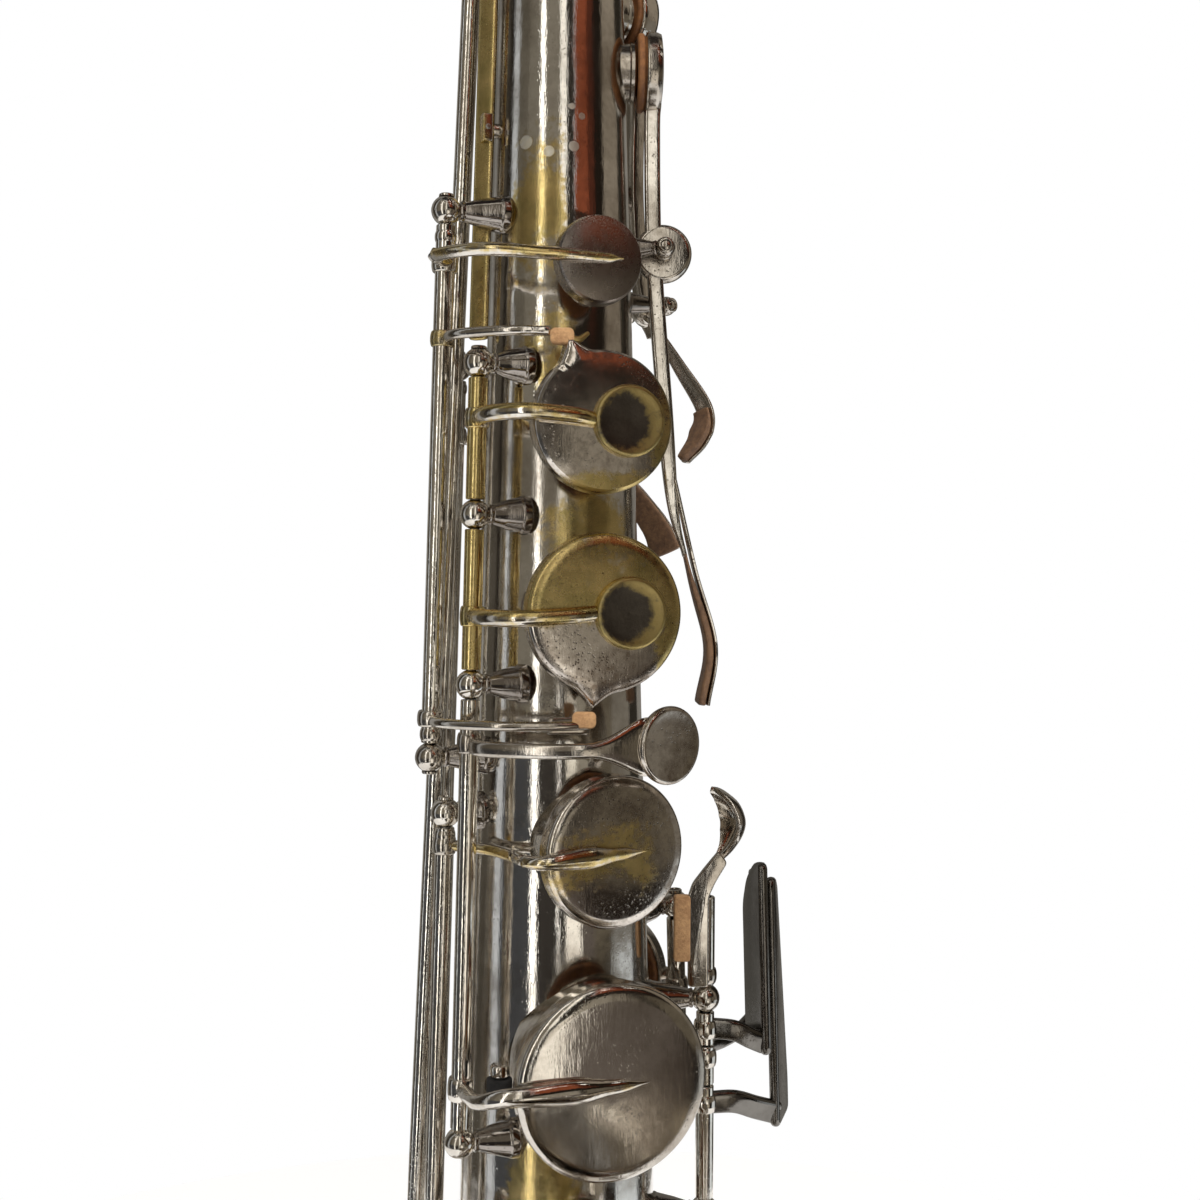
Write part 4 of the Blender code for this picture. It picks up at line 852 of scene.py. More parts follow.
tableShape = {"angle": 70.0, "reach": 38.5, "lean": 0.03, "thick": 2.6}
lines = {
    "stack": tubeLine(-64.0, 9.5),
    "outer": tubeLine(-84.0, 13.5),
    "sideBb": tubeLine(-84.0, 9.0),
    "sideE": tubeLine(-108.0, 9.0, -0.0135),
    "sideC": tubeLine(-126.0, 9.0),
    "gSharp": tubeLine(88.0, 10.0),
    "table": freeLine(polar(tableShape["angle"], tableShape["reach"], 0.0), up),
    "bellRight": freeLine(Vector((46.0, -80.0, 0.0)), up),
    "bellLeft": freeLine(Vector((-46.0, -80.0, 0.0)), up),
    "lowC": freeLine(Vector((-50.0, -34.0, 0.0)), up),
    "lowEb": freeLine(Vector((-50.0, 0.0, -316.0)), toBack),
}
rockers = {"palmD": (70.0, 26.3, 88.2), "palmEb": (106.0, 29.0, 77.0),
           "palmF": (140.0, 27.0, 108.0), "thumb": (155.0, 27.5, 22.0)}
for name, place in rockers.items():
    lines[name] = rockerLine(*place)

# tone holes on the tube: height, angle, radius of the cup over them, and the chimney's rise
holeSizes = {"chimneyRise": 3.5, "chimneyWall": 1.2, "padLap": 2.6, "gap": 0.3, "reveal": 0.9}
cupSizes = {"side": 4.4, "dome": 1.5, "wall": 0.8, "sides": 144}
hingeSizes = {"rod": 1.15, "bore": 1.5, "tube": 2.35, "ball": 3.7, "stem": 2.3, "foot": 4.8}


def tubeHole(height, angle, cup, rise=holeSizes["chimneyRise"]):
    seat = tubeRadius(height) + rise
    top = seat + holeSizes["gap"] + holeSizes["reveal"] + cupSizes["side"] + cupSizes["dome"]
    return {"cup": cup, "out": outward(angle), "across": tangent(angle),
            "centre": polar(angle, 0.0, height), "seat": seat, "top": top,
            "foot": tubeRadius(height) - 0.3}


def freeHole(centre, out, seat, cup):
    out = out.normalized()
    return {"cup": cup, "out": out, "across": up.cross(out).normalized(), "centre": centre,
            "seat": seat, "foot": seat - 12.0}


holes = {
    "c": tubeHole(80.0, 4.0, 10.5), "b": tubeHole(42.0, 4.0, 17.0), "a": tubeHole(-3.0, 4.0, 19.0),
    "bb": tubeHole(-60.0, 6.0, 18.5), "g": tubeHole(-113.0, 6.0, 23.5),
    "fs": tubeHole(-167.5, 2.0, 18.5), "f": tubeHole(-208.5, 2.0, 21.5),
    "e": tubeHole(-254.0, 2.0, 21.5), "d": tubeHole(-300.0, 2.0, 21.5),
    "palmD": tubeHole(134.0, 70.0, 10.0, 2.5), "palmEb": tubeHole(152.0, 106.0, 10.0, 2.5),
    "palmF": tubeHole(172.0, 140.0, 9.5, 2.5), "sideE": tubeHole(170.0, -156.0, 9.5),
    "sideC": tubeHole(42.0, -170.0, 10.0), "gs": tubeHole(-104.0, 132.0, 17.0),
}
tubeHoles = list(holes)


def atHole(hole, side, level, height):
    return hole["across"] * side + hole["out"] * level + up * height


# bow and bell run on from the tube
bowShape = {"span": 112.0, "lead": 7.0, "endRadius": 37.5}
bellShape = {"top": -175.0, "lean": 8.0, "rim": 76.0, "cone": 9.0}


def bowCentre(turn):
    swing = math.radians(turn)
    half = bowShape["span"] / 2
    return Vector((0.0, -half + half * math.cos(swing),
                   tubeShape["bottom"] - bowShape["lead"] - half * math.sin(swing)))


bellLean = math.radians(bellShape["lean"])
bellAxis = Vector((0.0, -math.sin(bellLean), math.cos(bellLean)))
bowTurn = 180.0 - bellShape["lean"]
bellBase = bowCentre(bowTurn) + bellAxis * bowShape["lead"]
bellLength = (bellShape["top"] - bellBase.z) / bellAxis.z


def bellShare(height):
    return (height - bellBase.z) / (bellShape["top"] - bellBase.z)


def bellCentre(height):
    return bellBase + bellAxis * (bellLength * bellShare(height))


def bellRadius(share):
    flare = (bellShape["rim"] - bowShape["endRadius"] - bellShape["cone"]) * share ** 6
    return bowShape["endRadius"] + bellShape["cone"] * share + flare


bowHoles = ["lowEb", "lowC"]
bellHoles = ["lowB", "lowBb", "lowCs"]
holes["lowEb"] = freeHole(bowCentre(32.0), -toRight, 37.5, 21.0)
holes["lowC"] = freeHole(bowCentre(105.0), -toRight, 40.5, 23.0)
holes["lowB"] = freeHole(bellCentre(-293.0), Vector((0.94, -0.34, 0)), 46.5, 23.0)
holes["lowBb"] = freeHole(bellCentre(-241.0), Vector((0.94, -0.34, 0)), 52.5, 23.5)
holes["lowCs"] = freeHole(bellCentre(-280.0), Vector((-0.94, -0.34, 0)), 47.5, 22.0)


def chimney(hole, wear=0.1):
    # a straight tone-hole wall with a rolled lip, standing in the tube
    outer = hole["cup"] - holeSizes["padLap"]
    inner = outer - holeSizes["chimneyWall"]
    low = hole["foot"] - 8.0 if hole["cup"] > 12.0 else hole["foot"] - 4.0
    seat = hole["seat"]
    loop = [(inner, low), (inner, seat - 0.3), (inner + 0.3, seat), (outer - 0.4, seat),
            (outer, seat - 0.4), (outer, seat - 1.2), (outer - 0.35, seat - 1.6),
            (outer - 0.35, low)]
    return lathe(loop, hole["centre"], hole["out"], 84, wear, "silver", closed=True)


def chimneyCutter(hole):
    radius = hole["cup"] - holeSizes["padLap"] - holeSizes["chimneyWall"] + 0.3
    start = hole["centre"] + hole["out"] * (hole["seat"] * 0.45)
    return rod(start, hole["centre"] + hole["out"] * (hole["seat"] + 3.0), radius, 84, edge=0.01)


def ballPost(tip, foot, wear=0.05, screw=None, size=1.0):
    # turned post: broad foot, cone, collar and ball, with a screw end along screw: a rim round a
    # dark disc of painted shade for its recess
    way = tip - foot
    length = way.length
    ball, stem, base = (hingeSizes[name] * size for name in ("ball", "stem", "foot"))
    outline = [(0.0, -1.6), (base, -1.6), (base, 0.5), (base - 0.3, 0.9),
               (stem + (base - stem) * 0.45, length * 0.4), (stem, length - ball - 0.6),
               (stem + 0.3, length - ball), (stem + 0.1, length - ball + 0.35)]
    bends = [-62 + 152 * k / 14 for k in range(15)]
    outline += [(ball * math.cos(math.radians(bend)), length + ball * math.sin(math.radians(bend)))
                for bend in bends[:-1]]
    outline.append((0.0, length + ball))
    # the cone takes the darker copy of the plate, as painted shade
    cone = lathe(fillet(outline[:8], 0.5), foot, way, 36, wear, "shadedDim")
    shapes = [cone, lathe(outline[7:], foot, way, 36, wear)]
    if screw:
        head = tip + screw * (ball - 0.55 - (1.0 - size))
        rim = [(1.3, 0.2), (1.95, 0.2), (1.9, 0.7), (1.65, 0.9), (1.4, 0.9), (1.3, 0.7)]
        shapes.append(lathe(rim, head, screw, 24, 0.1, closed=True))
        # a dark disc of painted shade inside the rim, for the screw's recess
        shapes.append(rod(head, head + screw * 0.6, 1.35, 20, 0.0, "shade", 0.02))
    return shapes


def withChimneys(skin, names, wear):
    # opens a skin under its tone holes and stands their chimneys in it
    opened = drill(skin, [chimneyCutter(holes[name]) for name in names], wear)
    return [opened] + [chimney(holes[name]) for name in names]


# posts on the tube: hinge line, place along it, and the angle of the foot
postPlaces = (
    [("stack", height, -47.0) for height in (57.0, 20.5, -20.5, -131.0, -152.0, -186.0, -231.0,
                                             -277.0, -323.0)]
    + [("outer", 95.0, -75.0), ("outer", -39.0, -78.0), ("sideBb", -53.0, -84.0),
       ("sideBb", -232.0, -84.0)]
    + [("sideE", 184.0, -108.0), ("sideE", -186.0, -108.0), ("sideC", 60.0, -126.0),
       ("sideC", -209.0, -126.0)]
    + [("table", -104.0, 70.0), ("table", -160.0, 70.0), ("gSharp", -82.0, 88.0),
       ("gSharp", -126.0, 88.0)]
    + [("lowC", -283.0, -40.0), ("lowC", -318.0, -40.0)]
)
rockerHalf, rockerSize = 8.0, 0.68
for name, (angle, reach, height) in rockers.items():
    spread = math.degrees(math.atan2(rockerHalf, reach))
    postPlaces += [(name, -rockerHalf, angle - spread), (name, rockerHalf, angle + spread)]


def tubeWear(point):
    # patches where the plate is gone: angle, height, half width in degrees, half height, amount
    angle = tubeAngle(point)
    worn = 0.02
    for patch in ((-40.0, 94.0, 40.0, 34.0, 0.64), (-30.0, 62.0, 36.0, 18.0, 0.66),
                  (-30.0, 112.0, 26.0, 14.0, 0.58), (0.0, 16.0, 54.0, 17.0, 0.70),
                  (4.0, -30.0, 24.0, 6.0, 0.30), (-26.0, -140.0, 34.0, 18.0, 0.74),
                  (150.0, -60.0, 50.0, 60.0, 0.25), (-150.0, 100.0, 50.0, 50.0, 0.22),
                  (60.0, -200.0, 40.0, 40.0, 0.2)):
        turn = (angle - patch[0] + 180.0) % 360.0 - 180.0
        far = math.hypot(turn / patch[2], (point.z - patch[1]) / patch[3])
        worn = max(worn, patch[4] * (1.0 - smooth(0.35, 1.15, far)))
    return worn


# neck socket at the top of the tube, and the vent under the body's octave key
socketShape = {"low": 204.0, "thick": 2.6, "lugHeight": 214.0, "lugOff": 5.5, "bore": 1.9}
octavePip = {"height": 164.0, "angle": -90.0, "barOff": 3.2, "fulcrum": 117.0}


def buildTube():
    top, bottom, rings = tubeShape["top"], tubeShape["bottom"], tubeShape["rings"]
    heights = [bottom + (top - bottom) * k / rings for k in range(rings + 1)]
    outer = [(tubeRadius(height), height) for height in heights]
    inner = [(radius - tubeShape["wall"], height) for radius, height in reversed(outer[::6])]
    skin = lathe(outer + inner, Vector(), up, tubeShape["sides"], 0.0, "tube", closed=True)
    shapes = withChimneys(skin, tubeHoles, tubeWear)
    for line, along, footAngle in postPlaces:
        tip = lines[line]["at"](along)
        row = [post[1] for post in postPlaces if post[0] == line]
        sign = (along == max(row)) - (along == min(row))
        screw = lines[line]["axis"] * sign if sign else None
        shapes += ballPost(tip, besideTube(footAngle, 0.0, tip.z), screw=screw,
                           size=rockerSize if line in rockers else 1.0)
    for along, screw in ((0.0, -toBack), (24.0, toBack)):
        tip = lines["lowEb"]["at"](along)
        reach = math.sqrt(tubeRadius(tip.z) ** 2 - along ** 2)
        shapes += ballPost(tip, Vector((-reach, along, tip.z)), screw=screw)
    low = socketShape["low"]
    wide = tubeRadius(low) + socketShape["thick"]
    outline = [(tubeRadius(low) - 0.2, low), (wide - 0.6, low), (wide, low + 1.2),
               (wide, low + 4.0), (wide - 0.7, low + 4.8), (wide - 0.7, top - 4.8),
               (wide, top - 4.0), (wide, top - 0.7), (wide - 0.6, top),
               (tubeRadius(top) - 0.6, top)]
    shapes.append(lathe(fillet(outline, 0.4), Vector(), up, 96, 0.12, "silver"))
    lug = besideTube(180.0, socketShape["lugOff"], socketShape["lugHeight"])
    for sign in (-1.0, 1.0):
        shapes.append(plate(roundedBox(8.0, 10.0, 2.5), lug + Vector((sign * 2.6, -1.5, 0)), toBack,
                            up, 3.8, 0.6))
    angle, height, fulcrum = (octavePip[name] for name in ("angle", "height", "fulcrum"))
    shapes.append(rod(polar(angle, 10.0, height), besideTube(angle, 1.2, height), 2.6, wear=0.3))
    under = besideTube(angle, octavePip["barOff"] - 1.6, fulcrum)
    shapes.append(rod(polar(angle, 14.0, fulcrum), under, 1.8))
    ring = [(-0.4, 0.0), (1.0, 0.0), (1.6, 0.7), (1.6, 2.0), (0.9, 2.65), (1.6, 3.3), (1.6, 4.6),
            (1.0, 5.3), (-0.4, 5.3)]
    shapes.append(ringAround(tubeRadius(bottom), ring, up * bottom, up, 96, 0.15))
    assemble("main_tube", shapes, "body", "body_tube")


buildTube()
print("tube built")


def hollowSweep(path, radii, thin, upright, sides, finish):
    # a bent tube with a wall, open at both ends
    shape = newShape(finish)
    rows = len(path)
    for less in (0.0, thin):
        for i in range(rows):
            ahead = aheadAt(path, i)
            first = ahead.cross(upright).normalized()
            second = first.cross(ahead).normalized()
            for k in range(sides):
                turn = 2.0 * math.pi * k / sides
                aim = first * math.cos(turn) + second * math.sin(turn)
                shape["points"].append(path[i] + aim * (radii[i] - less))
    links = [(block + i, block + i + 1) for block in (0, rows) for i in range(rows - 1)]
    links += [(0, rows), (rows - 1, 2 * rows - 1)]
    joinRings(shape, links, sides)
    return withWear(shape, 0.0)


def buildBow():
    steps = 64
    arc = [bowCentre(bowTurn * i / steps) for i in range(steps + 1)]
    lead = bowShape["lead"] - holeSizes["gap"]
    path = [arc[0] + up * (lead * (1 - k / 3)) for k in range(3)] + arc
    path += [arc[-1] + bellAxis * (lead * (k + 1) / 3) for k in range(3)]
    radii = even(path, tubeRadius(tubeShape["bottom"]), bowShape["endRadius"])
    skin = hollowSweep(path, radii, 1.0, toRight, 96, "bell")
    shapes = withChimneys(skin, bowHoles,
                          lambda point: 0.1 + 0.25 * smooth(-385.0, -400.0, point.z))
    assemble("bow_bend", shapes, "body", "bow")


def buildBell():
    count = 90
    shares = [k / count for k in range(count + 1)]
    outer = [(bellRadius(share), bellLength * share) for share in shares]
    rim = bellShape["rim"]
    top = bellLength
    roll = [(rim + 0.3 + 1.1 * math.sin(math.radians(bend)),
             top + 0.8 - 0.9 * math.cos(math.radians(bend)))
            for bend in range(20, 200, 20)]
    inner = [(radius - 1.0, height) for radius, height in reversed(outer)]
    skin = lathe(outer + roll + inner, bellBase, bellAxis, 144, 0.0, "bell", closed=True)
    shapes = withChimneys(skin, bellHoles,
                          lambda point: 0.06 + 0.32 * smooth(-195.0, -178.0, point.z))
    places = [("bellRight", height) for height in (-206.0, -262.0, -318.0)]
    places += [("bellLeft", height) for height in (-240.0, -310.0)]
    for line, height in places:
        tip = lines[line]["at"](height)
        centre = bellCentre(height)
        foot = centre + (tip - centre).normalized() * bellRadius(bellShare(height))
        shapes += ballPost(tip, foot)
    band = [(-0.2, 0.0), (1.0, 0.0), (1.4, 0.7), (1.4, 2.0), (0.8, 2.6), (1.4, 3.2), (1.4, 4.6),
            (1.0, 5.2), (0.1, 5.2)]
    shapes.append(ringAround(bowShape["endRadius"], band, bellBase, bellAxis, 120, 0.15))
    assemble("bell_flare", shapes, "body", "bell")


def buildRods():
    rodEnds = {"upper_stack_rod": ("stack", -134.0, 60.0),
               "lower_stack_rod": ("stack", -326.0, -149.0), "c_key_rod": ("outer", -42.0, 98.0),
               "side_bb_rod": ("sideBb", -235.0, -50.0), "table_rod": ("table", -163.0, -75.0)}
    for node, (line, low, high) in rodEnds.items():
        at = lines[line]["at"]
        assemble("steel_" + node, [rod(at(low), at(high), hingeSizes["rod"], 24, 0.0, "steel")],
                 "body", node)


buildBow()
buildBell()
buildRods()
print("bow, bell and rods built")


# cups, pads and touches, which every key shares
def cupBase(hole):
    return hole["centre"] + hole["out"] * (hole["seat"] + holeSizes["gap"] + holeSizes["reveal"])


def cupTop(hole, sink=-0.4):
    return cupBase(hole) + hole["out"] * (cupSizes["side"] + cupSizes["dome"] - sink)


def cup(hole, wear=0.1, finish="cup", lift=0.0):
    # a raised skirt shows more of the pad under it
    radius = hole["cup"]
    side, dome, wall = cupSizes["side"] - lift, cupSizes["dome"], cupSizes["wall"]
    crown = [(radius * 0.94 * k / 9, side + dome * (1 - 0.48 * (k / 9) ** 3)) for k in range(10)]
    edge = fillet([crown[-1], (radius - 0.15, side - 0.15), (radius, 0.6), (radius - 0.25, 0.0),
                   (radius - wall, 0.0)],
                  0.9, 5)
    inside = [(radius - wall, side - wall - 0.6), (radius - wall - 0.8, side - wall),
              (0.0, side - wall)]
    return lathe(crown + edge[1:] + inside, cupBase(hole) + hole["out"] * lift, hole["out"],
                 cupSizes["sides"], wear, finish)


def addPad(name, hole, body, node=None, turn=None, bulge=0.0):
    # a leather pad, puffed at its edge and pressed into a ring where it meets the chimney
    radius = hole["cup"] - cupSizes["wall"] - 0.3
    thick = holeSizes["reveal"] + cupSizes["side"] - cupSizes["wall"] - 0.3
    seat = hole["cup"] - holeSizes["padLap"] - 0.6
    outline = [(0.0, 0.02), (seat - 1.4, 0.02), (seat - 0.7, 0.22), (seat, 0.28), (seat + 0.7, 0.2),
               (radius - 0.6, 0.0), (radius + bulge - 0.1, 0.35), (radius + bulge, 0.9),
               (radius + bulge, 0.9 + bulge), (radius, 1.0 + bulge * 1.6),
               (radius - 0.15, thick - 0.3), (radius - 0.8, thick), (0.0, thick)]
    shape = lathe(fillet(outline, 0.3),
                  hole["centre"] + hole["out"] * (hole["seat"] + holeSizes["gap"]), hole["out"], 72,
                  0.0, "leather")
    piece = assemble(name, [shape], body, node, turn)


def finishKey(node, shapes, hole, padNode=None, turn=None, bulge=0.0):
    # a key's metal, and the pad that rides with it
    assemble(node + "_works", shapes, node, node, turn)
    addPad(node + "_pad", hole, node, padNode, turn, bulge)


def touchDisc(centre, out, radius=8.6, finish="touch", ringWear=0.72):
    # low finger touch, a little dished, whose worn middle sits left of the centre
    outline = [(0.0, -1.6), (radius * 0.82, -1.6), (radius - 0.15, 0.3), (radius, 1.3),
               (radius - 0.2, 2.0), (radius - 0.8, 2.35), (radius - 1.7, 2.2)]
    dish = (0.68, 0.54, 0.4, 0.26, 0.12, 0.0)
    outline += [(radius * share, 1.75 + 0.4 * share) for share in dish]
    shape = lathe(fillet(outline[:7], 0.5, 4) + outline[7:], centre, out, 84, 0.0, finish)
    middle = centre + out.cross(up) * (radius * 0.2)
    gaps = [(point - middle) - out * (point - middle).dot(out) for point in shape["points"]]
    shape["wear"] = [0.08 + ringWear * smooth(0.5, 0.9, gap.length / radius) for gap in gaps]
    return shape


def fromTube(line, height, angle, off):
    start = lines[line]["at"](height)
    aim = (besideTube(angle, off, height) - start).normalized()
    return start + aim * (hingeSizes["bore"] + 0.2)


def hingeTube(line, low, high, finish="rod", wear=0.2):
    at = lines[line]["at"]
    return pipe(at(low), at(high), hingeSizes["tube"], hingeSizes["bore"], 36, wear, finish)


def collar(line, height, length=4.4, grow=0.75, wear=0.25):
    # the fat ring where an arm is brazed round its hinge tube
    at = lines[line]["at"]
    radius = hingeSizes["tube"] + grow
    outline = [(hingeSizes["tube"] - 0.3, 0.0), (radius - 0.3, 0.1), (radius, length * 0.3),
               (radius, length * 0.7), (radius - 0.3, length - 0.1),
               (hingeSizes["tube"] - 0.3, length)]
    return lathe(fillet(outline, 0.6), at(height - length / 2), lines[line]["axis"], 36, wear)


def spear(points, widths, depths, hole, topWear=0.35, wear=0.08, steps=10):
    # an arm that swells over the cup's edge and runs out to a point, ridged along the middle
    path = curveThrough(points, steps)
    shares = [i / (len(path) - 1) for i in range(len(path))]
    wide, deep = ([atShare(values, share, True) for share in shares] for values in (widths, depths))
    return sweep(path, wide, deep, hole["out"], 24, 1.55, wear, topWear)


def openTurn(line, low, high, degrees):
    return lines[line]["at"]((low + high) / 2), lines[line]["axis"], degrees


openBy = {"stack": -9.0, "c": -7.5, "low": 7.0}
print("cups and touches ready")


# upper stack: C key on the outer rod, B, A and G keys on the stack rod
cKeyShape = {
    "ends": (-35.4, 91.4), "cupArm": 82.0, "upperLink": 63.5, "lowerLink": -29.3,
    "over": [(-70.0, 18.5, 82.0), (-45.0, 18.0, 81.0), (-20.0, 13.5, 80.0)],
    "wide": [1.5, 1.6, 1.6, 1.6, 1.3, 0.2], "deep": [1.9, 2.0, 1.9, 1.8, 1.1, 0.3],
    "upper": [(-64.0, 14.5, 63.2), (-40.0, 11.5, 63.0), (-22.0, 8.6, 63.0)],
    "lower": [(-64.0, 16.5, -29.2), (-40.0, 14.5, -29.0), (-18.0, 11.0, -29.0), (-4.0, 9.4, -29.0)],
    "lowerPad": [(-20.0, 10.9, -29.0), (-4.0, 9.2, -29.0)],
    "collars": [(63.6, 4.0, 0.7, 0.45), (-29.4, 4.2, 1.1, 0.1), (-33.3, 3.2, 0.35, 0.1),
                (88.5, 3.0, 0.3, 0.1)],
    "corks": [(-15.0, 8.8, 61.6), (-5.0, 9.8, -27.7)],
    "hook": [(-13.0, 8.0, 61.4), (-7.0, 8.2, 61.0), (-2.0, 8.0, 62.6)],
}


def buildCKey():
    spec = cKeyShape
    hole = holes["c"]
    top = cupTop(hole)
    turn = openTurn("outer", *spec["ends"], openBy["c"])
    points = [fromTube("outer", spec["cupArm"], -60.0, 18.0), *beside(*spec["over"]), top,
              top + Vector((5.0, 0.4, 0.0))]
    # the C cup is in the darker, rougher copy of the plate; its darkness is painted shade
    shapes = [spear(points, spec["wide"], spec["deep"], hole, 0.55),
              hingeTube("outer", *spec["ends"], wear=0.26), cup(hole, 0.16, "shadedSatin"),
              collar("outer", spec["cupArm"], 4.6, 0.9, 0.5)]
    shapes.append(arm([fromTube("outer", spec["upperLink"], -64.0, 15.0), *beside(*spec["upper"])],
                      1.3, 1.2, topWear=0.45))
    shapes.append(arm([fromTube("outer", spec["lowerLink"], -64.0, 16.5), *beside(*spec["lower"])],
                      1.25, 1.1, topWear=0.45))
    shapes.append(flatBar(beside(*spec["lowerPad"]), (1.9, 2.2), 0.7, outward(-12.0), wear=0.2))
    shapes += [collar("outer", *ring) for ring in spec["collars"]]
    for base in beside(*spec["corks"]):
        shapes.append(plate(roundedBox(5.6, 3.8, 1.2), base, Vector((0.95, -0.28, 0)), up, 2.6, 0.5,
                            finish="cork"))
    shapes.append(arm(beside(*spec["hook"]), 1.2, 0.5, finish="brass"))
    finishKey("c_key", shapes, hole, "c_pad", turn)


def stackPath(hole, height, tip):
    # from the hinge tube up beside the cup and over its dome to a tip
    tube = lines["stack"]["at"](height)
    side = tube.dot(hole["across"])
    middle = (height + hole["centre"].z) / 2
    radius, top = hole["cup"], hole["top"]
    return [tube + hole["out"] * (hingeSizes["bore"] + 0.2),
            atHole(hole, side + 0.6, top - 8.0, height),
            atHole(hole, -radius - 2.4, top - 0.3, height),
            atHole(hole, -radius * 0.5, top + 1.2, middle), cupTop(hole), tip]


pointHalf = 17.0  # degrees to each side of a cup's point


def pointedCup(shape, hole, lean, reach):
    # draws a cup's edge out to a point that another key's link works; lean is from straight up
    aim = hole["across"] * math.sin(math.radians(lean)) + up * math.cos(math.radians(lean))
    for point in shape["points"]:
        gap = point - hole["centre"]
        gap -= hole["out"] * gap.dot(hole["out"])
        off = math.degrees(gap.angle(aim, 0.0))
        if off < pointHalf:
            swell = reach * (1.0 - off / pointHalf) ** 1.9 * smooth(hole["cup"] * 0.8, hole["cup"],
                                                                    gap.length)
            point += gap.normalized() * swell
    return shape


touchShift = 5.5
fingerKeys = {
    "b": {"ends": (24.1, 53.4), "arm": 43.6, "point": (-24.0, 4.4),
          "wear": lambda p: 0.12 + 0.60 * max(smooth(34.0, 27.0, p.z), smooth(9.0, 17.0, p.x))},
    "a": {"ends": (-16.9, 16.9), "arm": -4.0, "point": (188.0, 3.6),
          "wear": lambda p: 0.10 + 0.64 * max(smooth(-12.0, 2.0, p.z), smooth(8.0, 18.0, p.x))},
}


def buildFingerKey(name):
    spec = fingerKeys[name]
    hole = holes[name]
    turn = openTurn("stack", *spec["ends"], openBy["stack"])
    touchAt = cupTop(hole, 0.2) + hole["across"] * touchShift
    path = stackPath(hole, spec["arm"], touchAt)[:4] + [touchAt - hole["across"] * 8.2]
    shapes = [arm(path, 2.1, 1.9, wear=0.5, topWear=0.75, sides=22)]
    shapes += [pointedCup(cup(hole, spec["wear"]), hole, *spec["point"]),
               touchDisc(touchAt, hole["out"])]
    shapes += [hingeTube("stack", *spec["ends"], "tubeBrass"),
               collar("stack", spec["arm"], 5.0, 0.75, 0.55)]
    finishKey(name + "_key", shapes, hole, name + "_pad", turn)


gKeyShape = {
    "ends": (-127.4, -24.1), "touchArm": -34.5, "cupArm": -117.8, "touch": (27.0, 14.0, -34.0),
    "over": [(-45.0, 15.0, -34.5), (-12.0, 15.5, -34.3), (12.0, 14.6, -34.0)], "flare": 18,
    "stop": [(-45.0, 7.0, -110.0), (-45.0, 7.0, -113.4), (-45.0, 7.0, -117.0)],
    "rises": [(1, 2.2), (2, 5.2), (3, 2.6)],
    "wide": [2.0, 2.1, 2.3, 2.9, 1.6, 0.25], "deep": [1.9, 2.0, 1.9, 1.6, 0.9, 0.3],
}


def buildGKey():
    spec = gKeyShape
    hole = holes["g"]
    turn = openTurn("stack", *spec["ends"], openBy["stack"])
    touchAt = besideTube(*spec["touch"])
    path = curveThrough([fromTube("stack", spec["touchArm"], -40.0, 15.0), *beside(*spec["over"]),
                         touchAt], 10)
    widths = even(path, 1.9, 1.7)
    for k in range(spec["flare"]):
        widths[-1 - k] = 1.7 + 5.2 * smooth(spec["flare"], 7, k)
    shapes = [sweep(path, widths, even(path, 1.5, 1.1), outward(-10.0), 24, 2.8, 0.02, 0.12),
              touchDisc(touchAt, outward(spec["touch"][0]), 9.3, "cup", 0.12)]
    stop = beside(*spec["stop"])
    shapes += [rod(stop[0], stop[1], 2.3, wear=0.2, edge=1.0),
               rod(stop[1], stop[2], 3.1, finish="felt", edge=0.5)]
    path = stackPath(hole, spec["cupArm"], cupTop(hole, 0.4) + hole["across"] * 9.0)
    for k, rise in spec["rises"]:
        path[k] += up * rise
    shapes += [spear(path, spec["wide"], spec["deep"], hole, 0.3), cup(hole, 0.04, "silver"),
               hingeTube("stack", *spec["ends"], wear=0.22),
               collar("stack", spec["touchArm"], 5.0, 0.7, 0.08),
               collar("stack", spec["cupArm"], 5.6, 0.9, 0.3)]
    finishKey("g_key", shapes, hole, "g_pad", turn)


buildCKey()
for name in fingerKeys:
    buildFingerKey(name)
buildGKey()
print("upper stack built")


# side keys: cup at the top of a long tube, a plate for the side of the right hand at the bottom
sideKeys = {
    "sideBb": {"node": "side_bb_key", "ends": (-228.4, -56.6), "hole": "bb",
               "touch": (-66.0, -217.0)},
    "sideE": {"node": "side_e_key", "ends": (-182.4, 180.4), "hole": "sideE",
              "touch": (-76.0, -171.0), "height": 170.0, "start": (-140.0, 14.0),
              "over": [(-125.0, 12.0), (-140.0, 11.5)]},
    "sideC": {"node": "side_c_key", "ends": (-205.4, 56.4), "hole": "sideC",
              "touch": (-82.0, -194.0), "height": 42.0, "start": (-155.0, 14.0),
              "over": [(-142.0, 12.5), (-158.0, 11.5)]},
}


def buildSideKey(line, armShape, armHeight, cupWear=0.12, padNode=None):
    spec = sideKeys[line]
    hole = holes[spec["hole"]]
    angle, height = spec["touch"]
    lineAngle = lines[line]["angle"]
    touchArm = arm([fromTube(line, height, lineAngle + 14.0, 20.0),
                    *beside((lineAngle + 7.0, 15.5, height)),
                    *beside((angle - 8.0, 17.0, height), (angle, 17.3, height))], 1.7, 1.7,
                   topWear=0.3)
    pad = plate(roundedBox(9.5, 20.0, 3.5), besideTube(angle, 17.5, height), tangent(angle), up,
                2.0, 0.8, 0.15, 0.35, bow=lambda u, v: -0.012 * u * u)
    shapes = [armShape, touchArm, pad, cup(hole, cupWear), hingeTube(line, *spec["ends"])]
    shapes += [collar(line, armHeight, 4.4, 0.6, 0.2), collar(line, height, 4.6, 0.7, 0.2)]
    low, high = spec["ends"]
    for at in (low + 2.0, high - 2.0):
        shapes.append(collar(line, at, 3.0, 0.3, 0.05))
    finishKey(spec["node"], shapes, hole, padNode)


